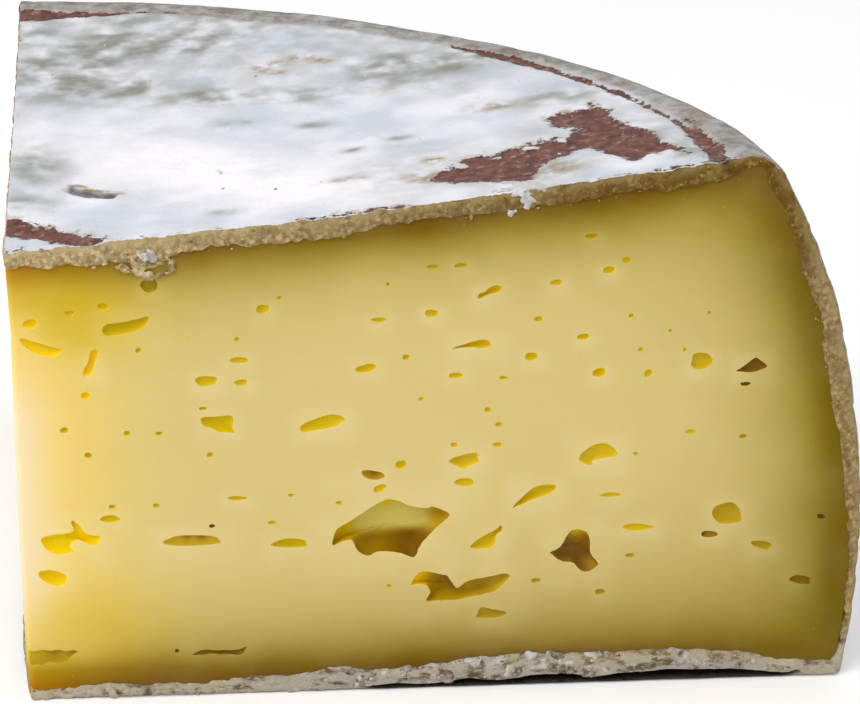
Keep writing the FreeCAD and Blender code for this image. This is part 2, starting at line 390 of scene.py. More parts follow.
class Shader:
    """Short hand for building one node material."""

    def __init__(self, name: str) -> None:
        """Start an empty material with one surface shader.

        Args:
            name: Name of the material.
        """
        self.material = bpy.data.materials.new(name)
        self.material.use_nodes = True
        self.tree = self.material.node_tree
        self.tree.nodes.clear()
        self.surface = self.tree.nodes.new("ShaderNodeBsdfPrincipled")
        output = self.tree.nodes.new("ShaderNodeOutputMaterial")
        self.tree.links.new(self.surface.outputs["BSDF"], output.inputs["Surface"])
        where = self.tree.nodes.new("ShaderNodeTexCoord")
        self.where = where.outputs["Object"]

    def put(self, target: Socket, value: object) -> None:
        """Feed a socket from a number, a colour or another socket."""
        if isinstance(value, Socket):
            self.tree.links.new(value, target)
        else:
            target.default_value = value

    def value(self, name: str, output: str = "Fac") -> Socket:
        """A number stored on the mesh, or a colour by the output Color."""
        node = self.tree.nodes.new("ShaderNodeAttribute")
        node.attribute_name = name
        return node.outputs[output]

    def noise(self, size: float, detail: float = 3.0, roughness: float = 0.55,
              stretch: tuple[float, float, float] = (1.0, 1.0, 1.0)) -> Socket:
        """Fractal noise in space, about 0.5 on average.

        Args:
            size: Size of its blots, in millimetres.
            detail: How many finer layers it has.
            roughness: Strength of the finer layers.
            stretch: How much closer the noise lies along each axis.

        Returns:
            The noise's socket.
        """
        node = self.tree.nodes.new("ShaderNodeTexNoise")
        node.inputs["Scale"].default_value = 1.0 / (size * MM)
        node.inputs["Detail"].default_value = detail
        node.inputs["Roughness"].default_value = roughness
        scaled = self.tree.nodes.new("ShaderNodeMapping")
        scaled.inputs["Scale"].default_value = stretch
        self.put(scaled.inputs["Vector"], self.where)
        self.put(node.inputs["Vector"], scaled.outputs["Vector"])
        return node.outputs["Fac"]

    def blots(self, look: tuple, low: float, high: float, start: float = 0.0,
              end: float = 1.0) -> Socket:
        """Noise of a look (size, detail, roughness, stretch), eased from start at low to end at high."""
        return self.step(self.noise(*look), low, high, start, end)

    def cells(self, size: float) -> Socket:
        """Distance to the nearest of many points that lie about a size in millimetres apart."""
        node = self.tree.nodes.new("ShaderNodeTexVoronoi")
        node.inputs["Scale"].default_value = 1.0 / (size * MM)
        self.put(node.inputs["Vector"], self.where)
        return node.outputs["Distance"]

    def frayed(self, value: object, look: tuple, width: float) -> Socket:
        """A number made uneven by noise of a look, over a width in all."""
        return self.math("MULTIPLY_ADD", self.math("SUBTRACT", self.noise(*look), 0.5), width, value)

    def times(self, first: object, second: object) -> Socket:
        """Product of two numbers."""
        return self.math("MULTIPLY", first, second)

    def math(self, operation: str, first: object, second: object = 0.0,
             third: object = 0.0) -> Socket:
        """One sum on two or three numbers."""
        node = self.tree.nodes.new("ShaderNodeMath")
        node.operation = operation
        self.put(node.inputs[0], first)
        self.put(node.inputs[1], second)
        self.put(node.inputs[2], third)
        return node.outputs[0]

    def step(self, value: object, low: float, high: float, start: float = 0.0,
             end: float = 1.0) -> Socket:
        """Ease a number from start at low to end at high."""
        node = self.tree.nodes.new("ShaderNodeMapRange")
        node.interpolation_type = "SMOOTHSTEP"
        self.put(node.inputs["Value"], value)
        for socket, number in (("From Min", low), ("From Max", high), ("To Min", start), ("To Max", end)):
            node.inputs[socket].default_value = number
        return node.outputs["Result"]

    def mix(self, share: object, first: object, second: object) -> Socket:
        """Mix two colours; a share of 1 is all second."""
        node = self.tree.nodes.new("ShaderNodeMix")
        node.data_type = "RGBA"
        self.put(node.inputs["Factor"], share)
        for socket, colour in ((node.inputs[6], first), (node.inputs[7], second)):
            is_plain = isinstance(colour, tuple) and len(colour) == 3
            self.put(socket, linear(colour) if is_plain else colour)
        return node.outputs[2]

    def by_depth(self, pale: Colour, deep: Colour) -> Socket:
        """Colour that changes along the cut, from pale at the corner to deep at the side."""
        return self.mix(self.value("deep"), pale, deep)

    def coats(self, ground: object, *layers: tuple[object, object]) -> Socket:
        """Lay coats over a ground in order, each a share and a colour."""
        for share, colour in layers:
            ground = self.mix(share, ground, colour)
        return ground

    def bump(self, height: object, depth: float, strength: float = 1.0,
             under: object = None) -> Socket:
        """Fine relief.

        Args:
            height: Socket from 0 to 1.
            depth: Real depth of the relief, in millimetres.
            strength: Share of the relief that shows.
            under: A coarser relief to lie on.

        Returns:
            The normal's socket.
        """
        node = self.tree.nodes.new("ShaderNodeBump")
        node.inputs["Distance"].default_value = depth * MM
        node.inputs["Strength"].default_value = strength
        self.put(node.inputs["Height"], height)
        if under is not None:
            self.put(node.inputs["Normal"], under)
        return node.outputs["Normal"]

    def set(self, **sockets: object) -> None:
        """Set the surface's own sockets; an underscore in a name stands for a space."""
        for name, value in sockets.items():
            self.put(self.surface.inputs[name.replace("_", " ")], value)


@dataclass(frozen=True)
class PasteFinish:
    """Smooth, slightly waxy cut paste, deeper coloured inside the eyes."""

    roughness: float = 0.46
    scatter: float = 0.45
    scatter_depth: float = 2.0
    shine: float = 0.045
    scatter_colour: Colour = (1.0, 0.62, 0.22)
    cloud: Colour = (238, 220, 165)
    fleck: Colour = (206, 182, 96)

    def build(self) -> bpy.types.Material:
        """Build the material."""
        shader = Shader("paste")
        tone = shader.value("tone", "Color")
        body = shader.coats(
            tone,
            (shader.blots((9.0, 4.0), 0.3, 0.7), shader.mix(0.05, tone, self.cloud)),
            (shader.blots((0.9, 2.0), 0.70, 0.80, 0.0, 0.35), self.fleck),
        )
        rough = shader.blots((1.4, 4.0), 0.25, 0.75, self.roughness - 0.07, self.roughness + 0.1)
        wet = shader.times(shader.value("inside"), 0.12)
        drag = shader.bump(shader.noise(3.2, 3.0, 0.5, (0.35, 1.0, 1.6)), 0.10, 0.35)
        pores = shader.bump(shader.noise(0.35, 3.0, 0.6), 0.03, 0.35, drag)
        shader.set(Base_Color=body, Roughness=shader.math("SUBTRACT", rough, wet), Normal=pores)
        shader.set(Specular_IOR_Level=self.shine, Subsurface_Weight=self.scatter)
        shader.set(Subsurface_Radius=self.scatter_colour, Subsurface_Scale=self.scatter_depth * MM)
        return shader.material


@dataclass(frozen=True)
class RindFinish:
    """Powdery white bloom, red-brown bare rind, and a granular cut edge."""

    bloom: Colour = (236, 236, 242)
    bloom_cool: Colour = (208, 213, 221)
    bloom_white: Colour = (250, 246, 250)
    mottle: Colour = (146, 146, 136)
    stain: Colour = (164, 142, 106)
    fringe: Colour = (172, 152, 124)
    bare: Colour = (128, 80, 66)
    bare_dark: Colour = (88, 48, 40)
    flank_pale: Colour = (174, 172, 168)
    flank_dark: Colour = (112, 102, 94)
    flank_brown: Colour = (112, 82, 54)
    edge_pale: Colour = (216, 190, 138)
    edge_deep: Colour = (116, 82, 0)
    edge_haze: Colour = (166, 144, 72)
    foot_pale: Colour = (180, 173, 160)
    foot_warm: Colour = (188, 178, 154)
    foot_dark: Colour = (98, 76, 50)
    foot_powder: Colour = (210, 205, 196)
    edge_brown: Colour = (92, 62, 16)
    edge_gap: Colour = (96, 66, 14)
    # Painted shade in the band's hollows.
    edge_pit_shade: Colour = (88, 58, 12)
    haze_pale: Colour = (216, 198, 154)
    chalk_pale: Colour = (224, 210, 174)
    chalk_deep: Colour = (184, 164, 106)
    lip_pale: Colour = (194, 174, 126)
    lip_deep: Colour = (146, 124, 70)
    # Painted highlights on the band's crests.
    crest_highlight_pale: Colour = (222, 206, 172)
    crest_highlight_deep: Colour = (190, 164, 96)
    speck: Colour = (156, 160, 164)
    bare_crust: Colour = (178, 156, 134)
    # Near-black painted shadow: inside the base's split, in the dark holes and cracks of the cut band, and in
    # the open crack in the top.
    crack: Colour = (14, 7, 6)
    rough_bloom: Colour = (236, 236, 236)
    rough_bare: Colour = (190, 190, 190)
    rough_edge: Colour = (206, 206, 206)

    def edge(self, shader: Shader) -> Socket:
        """Colour of the granular cut edge, deeper towards the side and grey at the foot, with painted shade
        in its hollows and painted highlights on its crests.

        Args:
            shader: The rind's material.

        Returns:
            The colour's socket.
        """
        ground = shader.by_depth(self.edge_pale, self.edge_deep)
        grain = shader.blots((0.8, 4.0, 0.62), 0.36, 0.60)
        haze = shader.blots((1.6, 4.0, 0.6), 0.52, 0.66, 0.0, 0.7)
        gaps = shader.step(shader.cells(0.62), 0.36, 0.62, 0.0, 0.40)
        chalk = shader.blots((0.55, 3.0, 0.6), 0.60, 0.70, 0.0, 0.55)
        outside = shader.times(shader.value("lip"), shader.blots((1.8, 4.0), 0.36, 0.56))
        low = shader.mix(shader.value("warm"), self.foot_pale, self.foot_warm)
        foot = shader.mix(shader.blots((1.3, 5.0, 0.65, (0.6, 0.6, 1.3)), 0.34, 0.54), self.foot_dark, low)
        powder = shader.blots((0.5, 3.0, 0.6), 0.58, 0.68, 0.0, 0.6)
        # Painted shade in the band's hollows and a painted highlight on its crests, by how hollow the surface
        # is.
        pits = shader.step(shader.value("pit"), 0.3, 1.8, 0.0, 0.45)
        crest_highlights = shader.step(shader.value("pit"), -1.6, -0.3, 0.30, 0.0)
        return shader.coats(
            shader.mix(grain, shader.mix(0.45, ground, self.edge_brown), ground),
            (haze, shader.by_depth(self.haze_pale, self.edge_haze)),
            (gaps, self.edge_gap),
            (chalk, shader.by_depth(self.chalk_pale, self.chalk_deep)),
            (outside, shader.by_depth(self.lip_pale, self.lip_deep)),
            (shader.value("foot"), shader.mix(powder, foot, self.foot_powder)),
            (pits, self.edge_pit_shade),
            (crest_highlights, shader.by_depth(self.crest_highlight_pale, self.crest_highlight_deep)),
        )

    def skin(self, shader: Shader) -> Socket:
        """Colour of the powdery bloom with its mottles and stains, and of the greyer flank.

        Args:
            shader: The rind's material.

        Returns:
            The colour's socket.
        """
        white = shader.times(shader.value("white"), shader.blots((6.0, 2.0), 0.25, 0.55, 0.5, 1.0))
        wisps = shader.times(shader.value("mottle"), shader.blots((3.4, 2.0, 0.45), 0.22, 0.70))
        flank = shader.mix(shader.blots((2.2, 5.0, 0.66), 0.32, 0.66), self.flank_dark, self.flank_pale)
        brown = shader.blots((5.5, 5.0, 0.6), 0.46, 0.68, 0.0, 0.65)
        return shader.coats(
            shader.mix(shader.blots((9.0, 3.0, 0.5), 0.35, 0.68), self.bloom_cool, self.bloom),
            (white, self.bloom_white),
            (wisps, self.mottle),
            (shader.times(shader.value("stain"), shader.blots((2.0, 4.0), 0.36, 0.60)), self.stain),
            (shader.blots((1.2, 3.0, 0.6), 0.66, 0.76, 0.0, 0.4), self.speck),
            (shader.value("flank"), shader.mix(brown, flank, self.flank_brown)),
        )

    def build(self) -> bpy.types.Material:
        """Build the material."""
        shader = Shader("rind")
        reach = shader.frayed(shader.value("bare"), (2.6, 4.0, 0.6), 3.2)
        reach = shader.frayed(reach, (0.75, 5.0, 0.7), 3.2)
        bare = shader.step(reach, -0.22, 0.30)
        covered = shader.math("SUBTRACT", 1.0, bare)
        inner = shader.mix(shader.blots((1.4, 4.0, 0.6), 0.35, 0.7), self.bare_dark, self.bare)
        inner = shader.mix(shader.blots((1.2, 5.0, 0.6), 0.54, 0.70, 0.0, 0.65), inner, self.bare_crust)
        fringe = shader.times(shader.step(reach, -1.3, 0.0), shader.blots((2.2, 3.0), 0.40, 0.62, 0.0, 0.7))
        edge = shader.step(shader.frayed(shader.value("edge"), (0.7, 4.0), 0.9), 0.30, 0.55)
        shader.set(Base_Color=shader.coats(
            self.skin(shader),
            (fringe, self.fringe),
            (bare, inner),
            (edge, self.edge(shader)),
            # Painted shadow in the split, the holes and the cracks.
            (shader.value("crack"), self.crack),
        ))
        dry = shader.mix(bare, self.rough_bloom, self.rough_bare)
        shader.set(Roughness=shader.mix(edge, dry, self.rough_edge), Specular_IOR_Level=0.2)
        powder = shader.times(shader.noise(0.45, 6.0, 0.7), covered)
        coarse = shader.bump(shader.noise(2.4, 5.0, 0.6), 0.30, 0.5)
        torn = shader.bump(covered, 0.16, 0.6, coarse)
        fuzz = shader.bump(powder, 0.16, 0.7, torn)
        grains = shader.times(shader.noise(0.6, 5.0, 0.7), edge)
        shader.set(Normal=shader.bump(grains, 0.40, 0.8, fuzz))
        return shader.material


@dataclass(frozen=True)
class CrumbFinish:
    """Dry granular crumb of one ground colour, with painted shade in its creases."""

    name: str
    ground: Colour
    dark: Colour
    light: Colour
    warm: Colour

    def build(self) -> bpy.types.Material:
        """Build the material."""
        shader = Shader(self.name)
        shader.set(Base_Color=shader.coats(
            shader.mix(shader.blots((1.3, 4.0, 0.65), 0.38, 0.62), self.dark, self.ground),
            (shader.blots((0.5, 3.0), 0.55, 0.68), self.light),
            (shader.value("own"), self.light),
            (shader.times(shader.value("warm"), 0.8), self.warm),
            # Painted shade in the crumbs' creases.
            (shader.step(shader.value("pit"), 0.2, 1.6, 0.0, 0.8), self.dark),
        ))
        shader.set(Roughness=shader.blots((0.8, 3.0), 0.3, 0.7, 0.62, 0.85), Specular_IOR_Level=0.25)
        rough = shader.bump(shader.noise(0.5, 5.0, 0.7), 0.16, 0.8)
        shader.set(Normal=shader.bump(shader.cells(0.35), 0.10, 0.6, rough))
        return shader.material


@dataclass(frozen=True)
class FloorFinish:
    """Plain matt white ground."""

    darkest: Colour = (236, 236, 236)
    lightest: Colour = (240, 240, 240)
    glow: float = 0.22

    def build(self) -> bpy.types.Material:
        """Build the material."""
        shader = Shader("floor")
        tint = shader.mix(shader.noise(60.0, 2.0), self.darkest, self.lightest)
        shader.set(Base_Color=tint, Roughness=0.9, Specular_IOR_Level=0.1)
        ray = shader.tree.nodes.new("ShaderNodeLightPath")
        seen = shader.math("MAXIMUM", ray.outputs["Is Camera Ray"], ray.outputs["Is Glossy Ray"])
        shader.set(Emission_Color=(1.0, 1.0, 1.0, 1.0), Emission_Strength=shader.times(seen, self.glow))
        return shader.material


# ------------------------------------------------------------------------------ paste


class EyeKind(Enum):
    """Outline of an eye in the cut paste."""

    OVAL = "oval"
    SLIT = "slit"
    DOME = "dome"
    BEAN = "bean"
    WEDGE = "wedge"
    TORN = "torn"


class EyeTone(Enum):
    """Colour of an eye's wall, 0 to 255."""

    BRIGHT = (255, 218, 0)
    PLAIN = (230, 198, 0)
    HONEY = (217, 184, 0)
    OCHRE = (208, 172, 0)
    TAWNY = (178, 134, 0)
    UMBER = (150, 108, 0)
    BROWN = (143, 97, 0)
    DARK = (118, 78, 8)


Tint = tuple[float, float, float, EyeTone]


@dataclass(frozen=True)
class Eye:
    """One open eye or tear on a knife cut, in millimetres and degrees."""

    along: float
    up: float
    width: float
    height: float
    kind: EyeKind = EyeKind.OVAL
    tilt: float = 0.0
    tone: EyeTone = EyeTone.PLAIN
    depth: float = 0.0
    torn: Pairs = ()
    crevice: float = 0.0
    # Spots of another wall colour: partly the wall's own tone, partly painted shade in the deepest hollows
    # and painted light on rims.
    tints_and_shading: tuple[Tint, ...] = ()

    @property
    def reach(self) -> float:
        """How deep the eye goes."""
        return self.depth or 0.12 + 0.20 * min(self.width, self.height)

    def rounded(self, count: int, lumps: np.random.Generator) -> Points:
        """Outline of every kind but a tear, before it is tilted.

        Args:
            count: How many points it has.
            lumps: Seeded source of its unevenness.

        Returns:
            Points in order about the eye's middle.
        """
        turn = np.linspace(0.0, 2.0 * math.pi, count, endpoint=False)
        wide = np.sign(np.cos(turn)) * np.abs(np.cos(turn)) ** 0.86
        tall = np.sign(np.sin(turn)) * np.abs(np.sin(turn)) ** 0.88
        if self.kind is EyeKind.SLIT:
            wide, tall = np.cos(turn), np.sin(turn) * np.abs(np.sin(turn)) ** 0.35
        if self.kind is EyeKind.DOME:
            tall = np.where(tall > 0.0, tall * 1.25, tall * 0.45) - 0.12
        if self.kind is EyeKind.BEAN:
            tall = tall + 0.45 * wide**2 - 0.2
        if self.kind is EyeKind.WEDGE:
            tall = tall * (0.80 + 0.26 * wide) + 0.16 * wide**2
        phases = lumps.uniform(0.0, 2.0 * math.pi, 4)
        swell = 1.0 + sum(share * np.sin(wave * turn + phase)
                          for share, wave, phase in zip((0.07, 0.07, 0.04, 0.025), (2, 3, 5, 8), phases))
        shape = np.stack([wide * self.width, tall * self.height], axis=1) / 2.0
        return shape * swell[:, None]

    def ragged(self, lumps: np.random.Generator) -> Points:
        """Outline of a tear: its corners kept, its runs slightly bowed and rough.

        Args:
            lumps: Seeded source of its roughness.

        Returns:
            Points in order about the eye's middle.
        """
        ring = np.array(self.torn)
        before, after, beyond = np.roll(ring, 1, 0), np.roll(ring, -1, 0), np.roll(ring, -2, 0)
        runs = []
        for share in (0.0, 0.25, 0.5, 0.75):
            straight = ring + (after - ring) * share
            bowed = 0.5 * (2.0 * ring + (after - before) * share
                           + (2.0 * before - 5.0 * ring + 4.0 * after - beyond) * share**2
                           + (3.0 * ring - before - 3.0 * after + beyond) * share**3)
            runs.append(0.45 * straight + 0.55 * bowed)
        shape = np.stack(runs, axis=1).reshape(-1, 2)
        return shape + lumps.normal(0.0, 0.05, shape.shape)

    def outline(self, lumps: np.random.Generator) -> Points:
        """Outline about the eye's middle, along and up the cut.

        Args:
            lumps: Seeded source of its unevenness.

        Returns:
            Points in order around the eye.
        """
        if self.kind is EyeKind.TORN:
            return self.ragged(lumps)
        count = int(np.clip(14 + 7 * max(self.width, self.height), 18, 44))
        shape = self.rounded(count, lumps)
        turn = math.radians(self.tilt)
        spin = np.array([[math.cos(turn), math.sin(turn)], [-math.sin(turn), math.cos(turn)]])
        return shape @ spin


BRIGHT, PLAIN, HONEY, OCHRE, TAWNY, UMBER, BROWN, DARK = EyeTone
OVAL, SLIT, DOME, BEAN, WEDGE, TORN = EyeKind


def tear(along: float, up: float, width: float, height: float, tone: EyeTone, depth: float, ring: Pairs,
         crevice: float = 0.0, tints_and_shading: tuple[Tint, ...] = ()) -> Eye:
    """Open tear with the outline of a ring of points about its middle."""
    return Eye(along, up, width, height, TORN, 0.0, tone, depth, ring, crevice, tints_and_shading)


GREAT_TEAR = tear(44.9, 20.8, 14.0, 7.8, OCHRE, 1.5, (
    (-7.1, -2.2), (-6.7, -0.1), (-5.0, 0.9), (-0.7, 3.9), (2.1, 2.7), (4.3, 2.5), (4.7, 2.7), (7.0, 1.6),
    (5.1, -0.1), (3.4, -2.2), (2.7, -3.9), (0.8, -3.2), (-1.6, -2.9), (-2.9, -3.6), (-4.2, -2.7),
    (-4.7, -1.4), (-5.9, -1.6)), 0.75, (
        (-5.7, -0.9, 1.4, OCHRE), (-0.7, 3.4, 1.2, HONEY), (5.6, 1.5, 1.2, TAWNY)))
# The UMBER spots are painted shade in the tear's deep notch.
LONG_TEAR = tear(53.0, 13.0, 11.7, 4.0, OCHRE, 1.3, (
    (-5.9, 0.4), (-5.6, 1.4), (-4.6, 2.3), (-2.4, 1.8), (-1.6, 1.6), (-1.1, 0.7), (-0.4, -0.2),
    (0.4, 0.6), (1.6, 1.0), (3.5, 1.3), (5.4, 1.7), (6.0, 1.2), (5.1, 0.3), (4.0, -0.7), (1.9, -1.2),
    (-1.1, -1.7), (-2.4, -1.6), (-4.0, -1.9), (-3.9, -1.2), (-3.6, -0.6), (-4.0, 0.4), (-5.1, 0.5)),
    0.4, (
        (-5.0, 1.2, 1.8, BRIGHT), (-2.3, 0.3, 1.5, UMBER), (-0.5, -0.3, 0.9, UMBER),
        (2.6, -0.2, 1.0, TAWNY)))
# The BRIGHT and HONEY spots at the top are painted light on the overhanging top rim.
BROWN_TEAR = tear(66.5, 17.4, 5.9, 5.8, BROWN, 1.6, (
    (-3.2, -0.3), (-1.9, 0.4), (-1.1, 1.9), (-0.7, 2.5), (0.1, 2.7), (1.2, 2.3), (1.7, 1.3), (1.7, -0.3),
    (2.3, -1.3), (2.9, -2.0), (1.5, -3.0), (0.4, -2.5), (-0.3, -1.7), (-1.1, -1.5), (-2.1, -1.2),
    (-2.7, -0.6)), 0.4, ((0.2, 2.7, 1.4, BRIGHT), (0.3, 2.9, 1.3, BRIGHT), (0.2, 2.6, 0.9, HONEY),
    (2.2, -2.3, 0.9, TAWNY), (-2.6, 0.0, 0.8, TAWNY)))
STAR_TEAR = tear(7.4, 20.4, 6.8, 3.8, BRIGHT, 0.6, (
    (-2.9, 0.2), (-1.7, 0.5), (0.0, 0.7), (1.0, 1.0), (0.7, 2.1), (0.9, 2.4), (1.7, 1.6), (2.2, 0.8),
    (3.0, 0.4), (4.0, 0.3), (3.9, -0.2), (3.4, -1.0), (2.2, -0.5), (1.3, -0.1), (0.7, -0.5), (0.3, -1.0),
    (1.0, -1.6), (0.0, -1.9), (-1.3, -1.9), (-2.3, -1.2), (-2.7, -0.5)))
TRAPEZE = tear(24.8, 34.4, 3.7, 2.1, PLAIN, 0.6, (
    (-1.9, 0.5), (-1.4, 0.7), (0.0, 0.7), (1.8, 0.8), (1.9, 0.0), (1.8, -0.9), (2.2, -1.5), (1.4, -1.3),
    (0.3, -1.3), (-0.4, -0.8), (-1.4, -0.5)))
SMALL_TEARS = (
    tear(55.5, 49.4, 2.8, 1.6, PLAIN, 0.5, (
        (-1.4, -0.7), (-1.2, -0.2), (-0.5, 0.0), (-0.1, 0.5), (0.7, 0.9), (1.4, 0.6), (1.3, 0.0),
        (0.5, -0.2), (-0.4, -0.4), (-0.8, -0.8))),
    tear(54.2, 43.2, 4.8, 1.1, PLAIN, 0.45, (
        (-3.0, -0.5), (-1.5, 0.0), (-0.1, 0.45), (1.0, 0.6), (1.6, 0.3), (1.7, -0.2), (0.9, -0.5),
        (-0.5, -0.4), (-1.6, -0.35))),
    tear(53.0, 29.1, 3.7, 2.2, PLAIN, 0.6, (
        (-1.9, -0.1), (-0.5, 0.6), (1.6, 1.0), (1.7, 0.1), (2.0, -0.3), (0.8, -0.7), (0.1, -1.2),
        (-0.8, -0.7))),
    tear(61.4, 24.6, 4.9, 3.0, PLAIN, 0.7, (
        (-2.7, -1.7), (-1.2, 0.0), (0.3, 1.2), (2.4, 1.2), (2.5, 0.7), (2.0, 0.1), (0.0, -0.7),
        (-1.6, -1.3))),
    tear(55.7, 19.0, 4.0, 3.1, PLAIN, 0.7, (
        (-1.9, -0.9), (-0.4, 0.4), (1.2, 1.2), (1.7, 1.8), (2.1, 1.7), (2.0, 1.0), (1.4, 0.6),
        (1.3, -0.3), (0.8, -1.1), (-0.4, -1.2))),
    tear(84.3, 21.4, 3.8, 2.9, OCHRE, 0.7, (
        (-1.9, 0.1), (-1.6, 1.0), (-0.7, 1.5), (0.7, 1.6), (1.5, 0.7), (1.8, -0.8), (0.7, -1.2),
        (-0.9, -1.1))),
    tear(56.9, 9.5, 3.9, 1.7, OCHRE, 0.5, (
        (-1.5, 0.9), (-0.3, 0.6), (1.9, 0.1), (0.8, -0.6), (-2.0, -0.6), (-1.9, 0.0))),
)

CORNER_TEARS = (
    tear(86.1, 40.0, 3.6, 1.9, BROWN, 0.5, (
        (-1.9, -0.6), (-0.9, 0.0), (-0.1, 0.7), (0.5, 1.05), (1.1, 0.5), (1.8, 0.05), (1.75, -0.35),
        (0.9, -0.6), (-0.2, -0.85), (-1.1, -0.7))),
    tear(5.4, 43.7, 4.8, 2.2, BRIGHT, 0.5, (
        (-2.4, 1.15), (-1.7, 1.15), (-0.6, 0.75), (0.6, 0.3), (1.7, -0.1), (2.35, -0.15), (2.3, -0.7),
        (1.5, -1.15), (0.3, -1.0), (-0.9, -0.55), (-1.8, 0.2))),
    tear(10.9, 41.8, 1.8, 3.1, BRIGHT, 0.45, (
        (0.1, 1.55), (0.9, 1.5), (0.85, 0.7), (0.45, 0.0), (0.3, -0.8), (0.05, -1.5), (-0.7, -1.6),
        (-1.0, -1.2), (-0.65, -0.6), (-0.3, 0.2), (-0.1, 0.9))),
    tear(14.9, 46.1, 5.5, 2.1, PLAIN, 0.55, (
        (-2.7, -0.45), (-2.3, 0.25), (-1.2, 0.4), (0.2, 0.6), (1.4, 0.8), (2.3, 1.15), (2.7, 0.95),
        (2.4, 0.15), (1.4, -0.55), (0.2, -0.9), (-1.0, -1.1), (-2.3, -1.15))),
    tear(5.9, 5.7, 7.4, 2.3, HONEY, 0.30, (
        (-3.6, 0.9), (-2.6, 0.55), (-1.8, 0.8), (-0.8, 0.6), (0.2, 0.75), (1.2, 0.45), (2.2, 0.6),
        (2.5, 0.3), (1.7, -0.1), (1.2, -0.7), (0.2, -1.15), (-1.0, -0.9), (-1.8, -1.3), (-2.6, -1.1),
        (-3.6, -1.35)), 0.0, (
        (-0.4, 0.5, 1.0, TAWNY), (2.0, 0.2, 0.8, TAWNY))),
    tear(24.7, 5.5, 6.5, 1.0, TAWNY, 0.4, (
        (-3.3, -0.35), (-2.4, 0.2), (-1.6, 0.4), (-0.6, 0.2), (0.6, 0.3), (1.8, 0.15), (2.6, 0.35),
        (3.3, 0.65), (3.1, -0.1), (2.4, -0.5), (1.4, -0.3), (0.2, -0.4), (-1.0, -0.15), (-2.0, -0.35))),
    tear(68.6, 29.5, 4.7, 2.9, PLAIN, 0.6, (
        (-2.2, -0.7), (-1.8, 0.2), (-0.8, 1.0), (0.6, 1.4), (1.7, 0.9), (2.4, -0.1), (1.9, -0.55),
        (0.7, -0.6), (-0.3, -0.8), (-0.7, -1.0), (-0.4, -1.3), (-0.9, -1.45), (-1.6, -1.1))),
)

